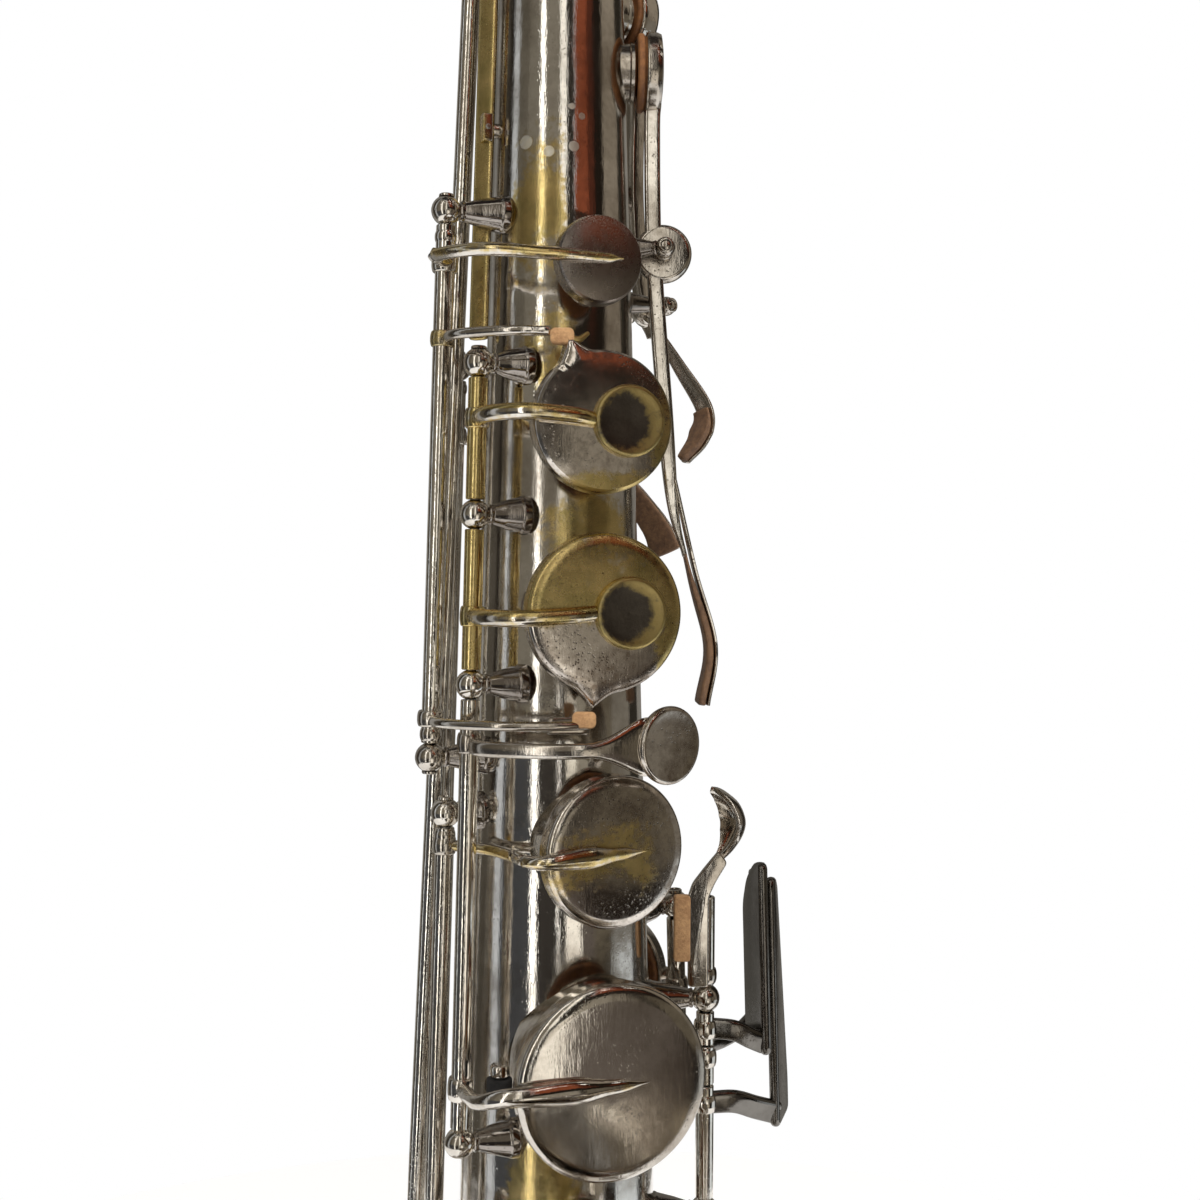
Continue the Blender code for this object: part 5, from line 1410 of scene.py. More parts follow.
def bbWear(point):
    # a yellow band across the middle of the cup
    band = smooth(17.0, 2.0, abs(point.z + 61.0 - 0.12 * point.x)) * smooth(22.0, 8.0, point.x)
    return 0.10 + 0.52 * max(band,
                             0.8 * smooth(5.0, 0.0, math.hypot(point.x - 9.0, point.z + 46.0)))


def buildSideKeys():
    bb = holes["bb"]
    points = [fromTube("sideBb", -61.0, -60.0, 1.0), *beside((-62.0, 3.6, -61.0)),
              atHole(bb, -bb["cup"] - 3.2, bb["top"] - 14.0, -61.0),
              atHole(bb, -bb["cup"] - 2.2, bb["top"] - 1.5, -60.5),
              atHole(bb, -bb["cup"] * 0.5, bb["top"] + 1.0, -60.0), cupTop(bb),
              cupTop(bb, 0.4) + bb["across"] * 8.0]
    bbArm = spear(points, [1.4, 1.4, 1.5, 1.7, 2.6, 1.5, 0.25], [1.4, 1.4, 1.5, 1.7, 1.5, 0.9, 0.3],
                  bb, 0.3, 0.3)
    buildSideKey("sideBb", bbArm, -61.0, bbWear, "side_bb_pad")
    for line in ("sideE", "sideC"):
        spec = sideKeys[line]
        height = spec["height"]
        over = beside(*[(*place, height) for place in spec["over"]])
        points = [fromTube(line, height, *spec["start"]), *over, cupTop(holes[line])]
        buildSideKey(line, arm(points, 1.4, 1.1), height)


buildSideKeys()
print("side keys built")


# palm keys: cup and square bar above a short cross tube, below it a bent touch faced with leather
palmKeys = {
    "palmD": {"node": "palm_d_key", "pad": "palm_d_pad", "start": (70, 23.7, 126.4), "lift": 1.4,
              "boss": 7.4, "widths": (2.2, 4.86, 6.0), "faced": 0.26,
              "bar": [(70, 23.4, 119), (70, 24.0, 88), (70, 26.5, 55), (70, 29.1, 25),
                      (70, 32.4, 11)],
              "touch": [(70, 28.7, 30), (70, 34.0, 7), (70, 39.2, -12), (70, 37.2, -27)]},
    "palmEb": {"node": "palm_eb_key", "pad": None, "start": (106, 23.4, 144.6), "lift": 0.0,
               "boss": 4.6, "widths": (1.4, 3.7, 1.7), "faced": 0.5,
               "bar": [(106, 24.6, 132), (106, 24.6, 105), (106, 27.2, 79), (105, 30.5, 70)],
               "touch": [(105, 29.6, 73), (100, 36.6, 62), (95, 42.6, 50.5), (94, 41.2, 43),
                         (94, 36.6, 37)]},
    "palmF": {"node": "palm_f_key", "pad": None, "start": (140, 22.8, 165.0), "lift": 0.0,
              "boss": 4.6, "widths": (2.0, 3.82, 4.6), "faced": 0.12,
              "bar": [(140, 23.6, 150), (140, 24.8, 108), (140, 26, 70), (138, 27.5, 46)],
              "touch": [(139, 26.8, 52), (131, 29.5, 36), (118, 32.3, 26), (108, 34.1, 18),
                        (104, 35.1, 12)]},
}
bladeShape = {"metal": 0.5, "facing": 1.05, "barHalf": 2.0, "bend": 0.7}


def facedBlade(points, widths, upright, faced):
    # a metal blade, with half widths at its start, bend and tip, and leather on its inner side
    metal, facing = bladeShape["metal"], bladeShape["facing"]
    path = curveThrough(points, 10)
    outer = []
    inner = []
    for i, point in enumerate(path):
        ahead = aheadAt(path, i)
        lift = ahead.cross(upright).normalized().cross(ahead).normalized()
        outer.append(point + lift * facing)
        inner.append(point - lift * (metal + 0.05))
    turn = int(len(path) * bladeShape["bend"])
    half = even(path[:turn], *widths[:2]) + even(path[turn:], *widths[1:])
    skip = int(len(path) * faced)
    blade = sweep(outer, half, even(path, metal), upright, 24, 4.0, 0.06, 0.12)
    depths = [facing * (0.35 + 0.65 * smooth(0, 8, i)) for i in range(len(path) - skip)]
    leather = sweep(inner[skip:], [width - 0.25 for width in half[skip:]], depths, upright, 24, 5.0,
                    finish="facing")
    return [blade, leather]


def hingeBoss(line, radius, half=1.9, wear=0.04):
    # a thick disc round a cross tube, where the bar rides over it
    outline = [(0.0, -half - 0.1), (radius - 0.8, -half), (radius, -half * 0.5),
               (radius, half * 0.5), (radius - 0.8, half), (0.0, half + 0.1)]
    return lathe(fillet(outline, 0.6, 4), lines[line]["at"](0.0), lines[line]["axis"], 60, wear)


def crossTube(line, half=4.4):
    at = lines[line]["at"]
    return rod(at(-half), at(half), hingeSizes["tube"], 36, 0.1, edge=0.4)


def buildPalmKey(line):
    spec = palmKeys[line]
    hole = holes[line]
    stem = curveThrough([polar(*spec["start"])] + [polar(*place) for place in spec["bar"]], 12)
    shapes = [cup(hole, 0.04, "silver", spec["lift"])]
    half = bladeShape["barHalf"]
    depths = [half * (1.0 - 0.72 * smooth(len(stem) - 22, len(stem) - 1, i))
              for i in range(len(stem))]
    shapes.append(sweep(stem, even(stem, 1.8), depths, hole["out"], 28, 7.0, 0.02, 0.03))
    shapes += facedBlade([polar(*place) for place in spec["touch"]], spec["widths"], hole["out"],
                         spec["faced"])
    shapes += [crossTube(line), hingeBoss(line, spec["boss"])]
    finishKey(spec["node"], shapes, hole, spec["pad"], bulge=spec["lift"] * 0.5)


for line in palmKeys:
    buildPalmKey(line)
print("palm keys built")


# octave keys: a worn flat bar that rocks over the vent, and the thumb's lever at the back
def buildOctaveKeys():
    angle, off, height = octavePip["angle"], octavePip["barOff"], octavePip["height"]
    bar = flatBar(beside((angle, off, 65.0), (angle, off, 116.0), (angle, off, height + 3.0)),
                  (2.5, 2.5), 0.8, outward(angle + 42.0), wear=0.5, topWear=0.3)
    fulcrum = besideTube(angle, off, octavePip["fulcrum"])
    block = plate(roundedBox(5.6, 7.0, 0.6), fulcrum, tangent(angle), up, 2.6, 0.35, 0.3, 0.2)
    pin = rod(fulcrum - tangent(angle) * 3.1, fulcrum + tangent(angle) * 3.1, 0.7, 20, 0.0, "steel")
    pad = rod(besideTube(angle, 1.6, height), besideTube(angle, off, height), 3.1, 32,
              finish="cork", edge=0.5)
    assemble("octave_bar_works", [bar, block, pin, pad], "body_octave_key", "body_octave_key")
    angle, reach, height = rockers["thumb"]
    out = outward(angle)
    thumb = flatBar([polar(angle, reach - 2.0, height - 2.0),
                     polar(angle, reach + 1.0, height - 12.0),
                     polar(angle, reach + 2.0, height - 22.0)], (4.0, 6.5), 1.2, out, wear=0.2,
                    topWear=0.3)
    tail = flatBar([polar(angle, reach - 1.5, height + 2.0),
                    polar(angle, reach - 1.0, height + 12.0),
                    polar(angle, reach - 1.5, height + 22.0)], (2.0, 1.5), 1.2, out, wear=0.08)
    assemble("thumb_lever_works", [thumb, tail, crossTube("thumb"), hingeBoss("thumb", 4.2)],
             "thumb_octave_lever", "thumb_octave_lever")


buildOctaveKeys()
print("octave keys built")


# the left little finger's table: G-sharp spoon, and three levers with plates edge on to the front
spoonShape = {
    "arm": [(33.6, -100.2), (38.8, -100.2), (38.8, -77.0), (40.6, -73.0), (43.6, -68.0),
            (41.4, -65.0), (37.6, -69.6), (34.7, -73.4), (33.6, -76.6)],
    "bowl": [(41.6, -67.6), (44.6, -64.4), (46.8, -60.6), (47.4, -57.0), (45.8, -53.0),
             (42.6, -50.2), (40.6, -49.2)],
    "halfWidths": [1.0, 2.6, 4.4, 5.2, 4.8, 3.0, 1.0], "dish": 3.4, "turn": 20.0, "thick": 1.3,
    "front": -2.7,
}
tableLevers = {
    "low_cs_lever": {"ends": (-116.0, -107.6), "collar": -112.0, "near": (54.3, 0.0, -94.5),
                     "slant": 11.0, "outline": [(0, -25.5), (15, -25.5), (15, 12), (11.5, 19.5),
                                                (5.5, 24.8),
                                 (1.5, 25.6), (0, 24.5)],
                     "arm": [(40.2, 0.0, -112.0), (46.0, -0.3, -112.6), (50.5, 0.8, -115.0),
                             (54.2, 2.4, -117.0)],
                     "halves": (2.6, 2.7, 1.3)},
    "low_b_lever": {"ends": (-126.4, -116.5), "collar": -119.6, "near": (54.8, 22.0, -100.0),
                    "slant": -8.0, "outline": [(0, -22), (15, -22), (15, 22), (0, 22)],
                    "arm": [(38.5, 1.8, -119.5), (40.2, 8.5, -120.0), (45.2, 16.0, -121.0),
                            (50.0, 21.5, -120.5), (55.6, 26.0, -117.0)], "halves": (1.7, 1.7, 1.5)},
    "low_bb_lever": {"ends": (-156.4, -127.0), "collar": -131.5, "near": (56.85, 6.0, -108.0),
                     "slant": -20.0, "outline": [(0, -33.5), (15, -33.5), (15, -24), (6.2, 31),
                                                 (4.2, 33.5),
                                 (1.2, 33.5), (0, 31)],
                     "arm": [(40.2, 0.0, -131.5), (46.5, 1.0, -131.8), (52.5, 4.0, -134.6),
                             (58.2, 8.0, -137.5)],
                     "halves": (2.8, 3.1, 1.3)},
}


def tablePoint(reach, back, height):
    return outward(tableShape["angle"]) * reach + tangent(tableShape["angle"]) * back + up * height


def roundCorners(outline, amount):
    return fillet(outline + outline[:2], amount, 4)[1:-1]


def spoonBowl():
    # dished leaf: the near edge faces the front and the far edge turns in towards the tube
    spec = spoonShape
    turn = math.radians(spec["turn"])
    out, back = outward(tableShape["angle"]), tangent(tableShape["angle"])
    wide = back * math.cos(turn) - out * math.sin(turn)
    path = curveThrough([tablePoint(reach, spec["front"] + 1.0, height) for reach,
                         height in spec["bowl"]], 5)
    widest = max(spec["halfWidths"])
    columns = [math.sin(math.pi * (j / 14 - 0.5)) for j in range(15)]
    grid = []
    for i, point in enumerate(path):
        half = atShare(spec["halfWidths"], i / (len(path) - 1))
        inward = out * (-spec["dish"] * half / widest)
        grid.append([point + wide * (half * u) + inward * (u * u) for u in columns])
    return shell(grid, spec["thick"], 0.03)


def buildSpoon():
    front = tangent(tableShape["angle"]) * spoonShape["front"]
    out = outward(tableShape["angle"])
    bar = plate(roundCorners(spoonShape["arm"], 1.0), front, out, up, 2.2, 0.35, 0.03, 0.05)
    cork = plate(roundedBox(4.2, 17.0, 0.8), front + out * 32.0 - up * 85.0, out, up, 2.8, 0.3,
                 finish="cork")
    shapes = [bar, cork, spoonBowl(), hingeTube("table", -100.4, -77.5),
              collar("table", -98.0, 4.0, 0.6, 0.05)]
    assemble("g_sharp_spoon", shapes, "g_sharp_lever", "g_sharp_lever")


def buildTableLever(name):
    spec = tableLevers[name]
    out, back = outward(tableShape["angle"]), tangent(tableShape["angle"])
    turn = math.radians(spec["slant"])
    across = back * math.cos(turn) - out * math.sin(turn)
    lean = (up - out * tableShape["lean"]).normalized()
    # the plate and bar take the dark grey copy of the plate, as painted shade
    touch = plate(roundCorners(spec["outline"], 2.6), tablePoint(*spec["near"]), across, lean,
                  tableShape["thick"], 1.1, 0.03, 0.08, "grey")
    path = curveThrough([tablePoint(*place) for place in spec["arm"]], 10)
    first, last, thick = spec["halves"]
    bar = sweep(path, even(path, first, last), even(path, thick), back, 24, 4.0, 0.03, 0.06, "grey")
    shapes = [touch, bar, hingeTube("table", *spec["ends"]),
              collar("table", spec["collar"], 4.6, 0.7, 0.08)]
    assemble(name + "_works", shapes, name, name)


gSharpShape = {
    "ends": (-122.4, -85.6), "arm": -104.0, "over": [(104.0, 13.5, -104.0), (117.0, 12.5, -104.0)],
    "wide": [1.7, 1.7, 1.9, 1.5, 0.3], "deep": [1.7, 1.7, 1.7, 1.0, 0.3],
}


def buildGSharpKey():
    spec = gSharpShape
    hole = holes["gs"]
    points = [fromTube("gSharp", spec["arm"], 112.0, 16.0), *beside(*spec["over"]), cupTop(hole),
              cupTop(hole, 0.4) + hole["across"] * 7.0]
    shapes = [spear(points, spec["wide"], spec["deep"], hole, 0.2), cup(hole, 0.08),
              hingeTube("gSharp", *spec["ends"]), collar("gSharp", spec["arm"], 5.0, 0.7, 0.1)]
    finishKey("g_sharp_key", shapes, hole)


buildSpoon()
for name in tableLevers:
    buildTableLever(name)
buildGSharpKey()
print("table built")


# lower stack
lowerKeys = {"fs": (-182.4, -155.6), "f": (-227.4, -189.6), "e": (-273.4, -234.6),
             "d": (-319.4, -280.6)}


def buildLowerKey(name):
    hole = holes[name]
    ends = lowerKeys[name]
    height = hole["centre"].z
    turn = openTurn("stack", *ends, openBy["stack"])
    shapes = [cup(hole, 0.1), hingeTube("stack", *ends), collar("stack", height, 5.2, 0.8, 0.35)]
    if name == "fs":
        tip = cupTop(hole, 0.4) + hole["across"] * 9.0
        shapes.append(spear(stackPath(hole, height, tip), [1.9, 2.0, 2.2, 2.7, 1.6, 0.25],
                            [1.9, 1.9, 1.9, 1.6, 0.9, 0.3], hole, 0.3))
    else:
        touchAt = cupTop(hole, 0.2) + hole["across"] * touchShift
        shapes += [arm(stackPath(hole, height, touchAt), 1.75, 1.5, wear=0.1, topWear=0.5,
                       sides=22),
                   touchDisc(touchAt, hole["out"])]
    finishKey(name + "_key", shapes, hole, None, turn)


for name in lowerKeys:
    buildLowerKey(name)
print("lower stack built")


# keys on the bow and the bell
lowEbShape = {"ends": (3.6, 20.4), "hinge": 6.5, "pinky": (-58.0, -28.0, -298.0),
              "plate": (11.0, 16.0)}
lowCShape = {"ends": (-314.4, -286.6), "hinge": -312.0, "pinky": (-57.0, -51.0, -297.0),
             "plate": (12.0, 16.0)}
bellKeys = {
    "lowB": {"node": "low_b_key", "line": "bellRight", "ends": (-314.4, -265.6),
             "open": openBy["low"]},
    "lowBb": {"node": "low_bb_key", "line": "bellRight", "ends": (-258.4, -209.6),
              "open": openBy["low"]},
    "lowCs": {"node": "low_cs_key", "line": "bellLeft", "ends": (-306.4, -243.6), "open": 0.0},
}


def solidHinge(line, ends, wear=0.06):
    at = lines[line]["at"]
    return [rod(at(ends[0]), at(ends[1]), hingeSizes["tube"], 36, wear, edge=0.4),
            *[collar(line, spot, 3.0, 0.3, wear) for spot in (ends[0] + 2.0, ends[1] - 2.0)]]


def pinkyPlate(spec, wear=0.3):
    return plate(roundedBox(*spec["plate"], 3.5), Vector(spec["pinky"]), toBack, up, 2.0, 0.8, 0.1,
                 wear, bow=lambda u, v: 0.01 * (u * u + v * v) - 0.3)


def buildLowEbKey():
    hole = holes["lowEb"]
    hinge = lines["lowEb"]["at"](lowEbShape["hinge"])
    points = [hinge - up * 2.0, hinge + Vector((0, -1, -14)), cupTop(hole),
              cupTop(hole, 0.4) + Vector((0, -1.5, -8))]
    shapes = [spear(points, [1.8, 1.8, 1.6, 0.3], [1.8, 1.8, 1.2, 0.3], hole, 0.15),
              cup(hole, 0.08)]
    shapes.append(arm([hinge + Vector((-1.0, 0.0, 1.5)), hinge + Vector((-7, -12, 8)),
                       Vector(lowEbShape["pinky"])], 1.7, 1.6, -toRight, topWear=0.2))
    shapes += [pinkyPlate(lowEbShape), *solidHinge("lowEb", lowEbShape["ends"])]
    finishKey("low_eb_key", shapes, hole)


def buildLowCKey():
    hole = holes["lowC"]
    at = lines["lowC"]["at"]
    hinge = at(lowCShape["hinge"])
    pinky = Vector(lowCShape["pinky"])
    turn = openTurn("lowC", *lowCShape["ends"], -openBy["low"])
    points = [hinge + Vector((-0.6, -1.8, 0)), hinge + Vector((-2, -14, -14)),
              hinge + Vector((0, -28, -45)), cupTop(hole), cupTop(hole, 0.4) + Vector((0, -2, -9))]
    shapes = [spear(points, [1.7, 1.8, 1.9, 1.6, 0.3], [1.7, 1.8, 1.8, 1.2, 0.3], hole, 0.15),
              cup(hole, 0.08)]
    shapes.append(arm([at(-297.0) + Vector((-0.8, -1.8, 0)), pinky + Vector((1, 8, 0)), pinky], 1.7,
                      1.6, topWear=0.2))
    shapes += [pinkyPlate(lowCShape), *solidHinge("lowC", lowCShape["ends"])]
    finishKey("low_c_key", shapes, hole, None, turn)


def buildBellKey(name):
    spec = bellKeys[name]
    hole = holes[name]
    out = hole["out"]
    side = 1.0 if out.x > 0 else -1.0
    start = lines[spec["line"]]["at"](hole["centre"].z)
    towards = Vector((-out.y, out.x, 0.0)) * side
    edge = cupTop(hole) + towards * (hole["cup"] + 2.5)
    points = [start + Vector((side * 0.9, -1.7, 0)), (start + edge) / 2 + out * 3.0, edge,
              cupTop(hole), cupTop(hole, 0.4) - towards * 8.0]
    shapes = [spear(points, [1.9, 2.0, 2.1, 1.9, 0.3], [2.0, 2.0, 2.0, 1.3, 0.3], hole, 0.15),
              cup(hole, 0.08)]
    shapes += [*solidHinge(spec["line"], spec["ends"]),
               collar(spec["line"], hole["centre"].z, 5.4, 0.8, 0.1)]
    turn = openTurn(spec["line"], *spec["ends"], spec["open"]) if spec["open"] else None
    finishKey(spec["node"], shapes, hole, None, turn)


buildLowEbKey()
buildLowCKey()
for name in bellKeys:
    buildBellKey(name)
print("low keys built")


# fittings: bell brace, thumb hook and rest, strap ring, clamp screw
braceShape = {"height": -225.0, "tubeAngle": 62.0, "radius": 2.4, "flange": 5.2,
              "bellSide": (0.62, 0.785, 0.0), "middle": (37.0, -40.0)}
hookShape = {"height": -215.0, "plate": (11.0, 26.0),
             "strip": [(2.2, 0.0), (12.0, 2.0), (21.0, -4.0), (23.0, -15.0)]}
restShape = {"angle": 155.0, "height": -14.0,
             "dome": [(0.0, 0.0), (7.0, 0.0), (7.5, 1.2), (6.2, 2.7), (4.0, 3.3), (0.0, 3.6)]}
ringShape = {"outer": 7.0, "inner": 4.4, "half": 1.6}


def slottedScrew(at, out, radius=1.7, finish="steel"):
    # a low domed screw head, with a thin dark plate of painted shade across it for its slot
    dome = [(0.0, 0.9), (radius * 0.6, 0.8), (radius, 0.3), (radius, -0.4), (0.0, -0.4)]
    first, second = sideAxes(out)
    slot = plate(roundedBox(radius * 1.9, 0.4, 0.15, 2), at + out * 0.72, first, second, 0.4, 0.05,
                 finish="shade")
    return [lathe(dome, at, out, 24, 0.1, finish), slot]


def buildBrace():
    height = braceShape["height"]
    bellSide = Vector(braceShape["bellSide"]).normalized()
    bellFoot = bellCentre(height) + bellSide * (bellRadius(bellShare(height)) + 1.6)
    angle = braceShape["tubeAngle"]
    start = besideTube(angle, 1.5, height)
    knee = Vector((*braceShape["middle"], height))
    radius, wide = braceShape["radius"], braceShape["flange"]
    shapes = [arm([start, knee, bellFoot], radius, radius, steps=12, topWear=0.12)]
    flange = fillet([(0.0, -0.8), (wide, -0.8), (wide, 0.3), (radius + 1.0, 1.2), (radius, 3.4),
                     (0.0, 3.4)], 0.4)
    for place, out in ((start, outward(angle)), (bellFoot, bellSide)):
        shapes.append(lathe(flange, place, out, 40, 0.12))
    middle = start * 0.34 + knee * 0.66
    ring = [(-0.3, -2.2), (0.9, -1.6), (1.2, 0.0), (0.9, 1.6), (-0.3, 2.2)]
    shapes.append(ringAround(radius, ring, middle, knee - start, 36, 0.1, 0.6))
    assemble("bell_brace_works", shapes, "body", "bell_brace")


def buildThumbHook():
    height = hookShape["height"]
    centre = Vector((0.0, tubeRadius(height), height))
    base = plate(roundedBox(*hookShape["plate"], 4.0), centre + toBack * 1.6, toRight, up, 2.4, 0.6,
                 0.25, 0.1)
    strip = flatBar([centre + Vector((0.0, y, z)) for y, z in hookShape["strip"]], (5.0, 6.0), 1.5,
                    up, wear=0.25, topWear=0.2)
    shapes = [base, strip]
    for z in (-9.0, 9.0):
        shapes += slottedScrew(centre + Vector((0.0, 2.7, z)), toBack)
    assemble("thumb_hook_works", shapes, "body", "thumb_hook")


def buildStrapRing():
    outer, inner, half = ringShape["outer"], ringShape["inner"], ringShape["half"]
    middle, thick = (outer + inner) / 2, (outer - inner) / 2
    bends = [2.0 * math.pi * k / 20 for k in range(20)]
    section = [(middle + thick * math.cos(bend), half * math.sin(bend)) for bend in bends]
    ring = lathe(section, strapRing, toRight, 72, 0.35, closed=True)
    foot = Vector((0.0, tubeRadius(strapRing.z) + 0.4, strapRing.z))
    stem = [(0.0, 0.0), (5.5, 0.0), (5.5, 1.4), (3.6, 2.2), (2.4, 3.6), (2.4, 7.2), (0.0, 7.2)]
    assemble("strap_ring_works", [ring, lathe(fillet(stem, 0.5), foot, toBack, 40, 0.2)], "body",
             "strap_ring")


def buildClampScrew():
    lug = besideTube(180.0, socketShape["lugOff"], socketShape["lugHeight"])
    wing = smoothOutline([(-3.4, -1.6), (-1.0, -1.5), (2.2, -3.8), (4.2, -3.4), (4.4, -1.0),
                          (3.2, 0.0), (4.4, 1.0), (4.2, 3.4), (2.2, 3.8), (-1.0, 1.5), (-3.4, 1.6)],
                         5)
    shapes = [rod(lug - toRight * 6.0, lug + toRight * 8.0, 1.6, 28, finish="brass"),
              plate(wing, lug + toRight * 10.5, toRight, up, 2.4, 0.8, finish="brass"),
              lathe(fillet([(0.0, 4.8), (2.6, 4.8), (3.0, 5.6), (2.4, 7.4), (0.0, 7.6)], 0.4), lug,
                    toRight, 32, 0.0, "brass")]
    assemble("neck_clamp_screw_works", shapes, "neck_clamp_screw", "neck_clamp_screw")


buildBrace()
buildThumbHook()
rest = besideTube(restShape["angle"], 0.4, restShape["height"])
assemble("thumb_rest_button", [lathe(fillet(restShape["dome"], 0.6, 4), rest,
                                     outward(restShape["angle"]), 56, 0.0, "brass")],
         "body", "thumb_rest")
buildStrapRing()
buildClampScrew()
print("fittings built")


# neck, its octave key and the cork that the mouthpiece slides on
neckShape = {
    "line": [(0, 201), (0, 222), (0, 240), (7, 270), (28, 296), (62, 313), (100, 317), (136, 308)],
    "aim": (0.0, 0.868, -0.496), "tenon": 12.6, "tip": 6.8, "straight": 46.0, "wall": 0.8,
    "saddle": (0.0, 52.0, 330.0),
}
neckEnd = Vector((0.0, *neckShape["line"][-1]))
neckAim = Vector(neckShape["aim"]).normalized()
neckUp = neckAim.cross(-toRight).normalized()
saddle = Vector(neckShape["saddle"])


def alongNeck(distance, lift=0.0):
    return neckEnd + neckAim * distance + neckUp * lift


def fromSaddle(*places):
    return [saddle + Vector(place) for place in places]


def buildNeck():
    steps = 12
    path = curveThrough([Vector((0.0, y, z)) for y, z in neckShape["line"]], steps)
    tenon, tip = neckShape["tenon"], neckShape["tip"]
    radii = [tenon + (tip - tenon) * max(0.0, i / steps - 2.0) / 5.0 for i in range(len(path))]
    for k in range(1, 9):
        path.append(alongNeck(neckShape["straight"] * k / 8))
        radii.append(tip)
    bend = hollowSweep(path, radii, neckShape["wall"], toRight, 64, "tube")
    bend["wear"] = [0.04 + 0.3 * smooth(268.0, 244.0, point.z) for point in bend["points"]]
    ring = [(-0.2, 0.3), (2.2, 0.3), (2.6, 0.9), (2.6, 2.2), (1.9, 2.7), (2.6, 3.2), (2.5, 4.5),
            (1.6, 5.0), (-0.2, 5.0)]
    lip = [(-0.3, -2.6), (0.7, -2.6), (0.9, -1.4), (0.7, -0.2), (-0.3, -0.2)]
    shapes = [bend, ringAround(tenon, ring, up * tubeShape["top"], up, 72, 0.25, 0.35),
              ringAround(tip, lip, alongNeck(5.4), neckAim, 48, 0.2)]
    for x in (-7.4, 7.4):
        shapes += ballPost(saddle + toRight * x, saddle + Vector((x * 0.8, 0.5, -10.0)),
                           screw=toRight)
    low, high = fromSaddle((0, 32, -10), (0, 32, -3.4))
    shapes.append(rod(low, high, 2.4, 32, 0.2))
    assemble("neck_tube_works", shapes, "neck", "neck_tube")
    cork = [(7.4, 6.0), (8.1, 6.0), (8.3, 6.6), (8.3, 15.0), (8.2, 16.2), (8.2, 43.0), (7.9, 44.0),
            (7.4, 44.0)]
    assemble("neck_cork_sleeve",
             [lathe(fillet(cork, 0.3), neckEnd, neckAim, 56, 0.0, "cork", closed=True)], "neck",
             "neck_cork")


def buildNeckKey():
    back = flatBar(fromSaddle((0, 1.8, 0.6), (0, 16, 2), (0, 34, 0.5)), (2.4, 3.0), 1.2, up,
                   wear=0.08, topWear=0.2)
    low = saddle + Vector((0, 32, -3.0))
    cap = lathe(fillet([(0.0, 0.9), (3.4, 0.9), (3.4, 3.4), (2.6, 4.4), (0.0, 4.6)], 0.4), low, up,
                36, 0.1)
    disc = rod(low, low + up * 1.2, 3.2, 32, finish="cork", edge=0.3)
    loop = flatBar(fromSaddle((0, -1.9, 0.4), (0, -18, -3), (0, -43, -23), (0, -62, -52),
                              (0, -71, -83)), (2.2, 2.6), 1.2,
                   Vector((0, -0.5, 0.8)), wear=0.1, topWear=0.2)
    tube = rod(saddle - toRight * 3.8, saddle + toRight * 3.8, hingeSizes["tube"], 36, 0.1,
               edge=0.4)
    assemble("neck_octave_works", [back, cap, disc, loop, tube], "neck_octave_key",
             "neck_octave_key")


buildNeck()
buildNeckKey()
print("neck built")


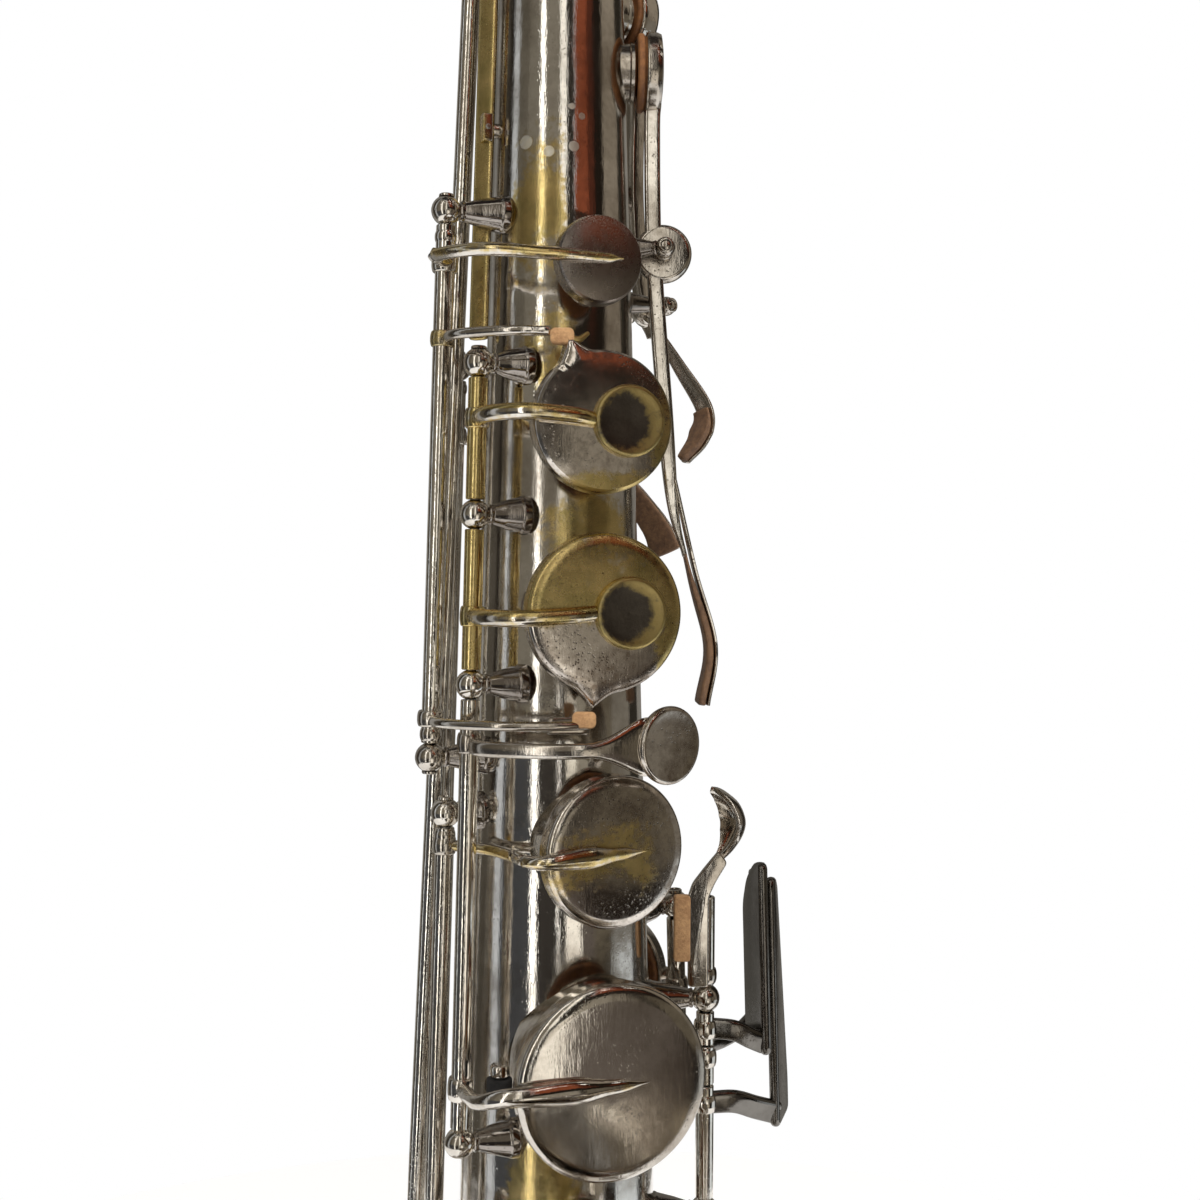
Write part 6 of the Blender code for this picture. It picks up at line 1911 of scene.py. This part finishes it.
# mouthpiece, reed and ligature
mouthShape = {
    "on": 16.0, "shank": [(8.7, 0.0), (11.2, 0.0), (11.6, 1.2), (11.9, 4.0), (12.4, 36.0),
                          (12.0, 58.0), (9.6, 92.0), (8.0, 95.0)],
    "bore": [(3.0, 95.0), (4.0, 60.0), (6.0, 36.0), (8.7, 34.0)],
    "beak": [(40.0, 16.0), (97.0, 16.0), (97.0, -7.4), (95.5, -7.4), (84.0, -2.6), (68.0, 5.4),
             (52.0, 12.6)],
    "table": [(30.0, -20.0), (97.0, -20.0), (97.0, -9.3), (30.0, -9.3)],
    "reed": [(32.0, -9.6), (95.0, -9.6), (95.0, -10.0), (66.0, -12.2), (32.0, -12.2)],
    "reedWidth": 14.5, "band": 13.9, "drop": -0.9, "screw": -20.0,
}


def buildMouthpiece():
    spec = mouthShape
    base = alongNeck(spec["on"])
    rings = [(11.75, 6.0), (12.05, 6.5), (12.05, 7.5), (11.85, 8.0)]
    shank = fillet(spec["shank"][:4] + rings + spec["shank"][4:], 0.6)
    body = lathe(shank + spec["bore"], base, neckAim, 72, 0.0, "ebonite", closed=True)
    cutters = [plate(spec[name], base, neckAim, neckUp, 40.0, 0.01) for name in ("beak", "table")]
    assemble("mouthpiece_works", [drill(body, cutters)], "mouthpiece", "mouthpiece")
    reed = plate(spec["reed"], base, neckAim, neckUp, spec["reedWidth"], 0.3, finish="cane")
    assemble("reed_blade", [reed], "mouthpiece", "reed")
    radius, drop = spec["band"], spec["drop"]
    band = [(0.0, 0.0), (0.8, 0.0), (1.0, 0.4), (0.7, 2.0), (1.0, 3.0), (0.7, 4.0), (0.7, 16.0),
            (1.0, 17.0), (0.7, 18.0), (1.0, 19.6), (0.8, 20.0), (0.0, 20.0)]
    shapes = [ringAround(radius, band, alongNeck(spec["on"] + 38.0, drop), neckAim, 72, 0.0,
                         finish="brass", closed=True)]
    screwAt = alongNeck(spec["on"] + 48.0, spec["screw"])
    ear = plate(roundedBox(14.0, 8.0, 1.5), alongNeck(spec["on"] + 48.0, drop - radius - 4.2),
                neckAim, neckUp, 7.0, 0.6, finish="brass")
    shapes.append(drill(ear, [rod(screwAt - toRight * 6.0, screwAt + toRight * 6.0, 1.9, 32,
                                  edge=0.01)]))
    assemble("ligature_band", shapes, "mouthpiece", "ligature")
    head = lathe(fillet([(0.0, 4.2), (3.0, 4.2), (3.4, 5.0), (3.4, 9.0), (2.8, 9.8), (0.0, 10.0)],
                        0.4), screwAt, toRight, 40, 0.0,
                 "brass")
    shapes = [rod(screwAt - toRight * 5.0, screwAt + toRight * 6.0, 1.6, 28, finish="brass"), head]
    assemble("ligature_screw_works", shapes, "ligature_screw", "ligature_screw")


buildMouthpiece()
print("mouthpiece built")
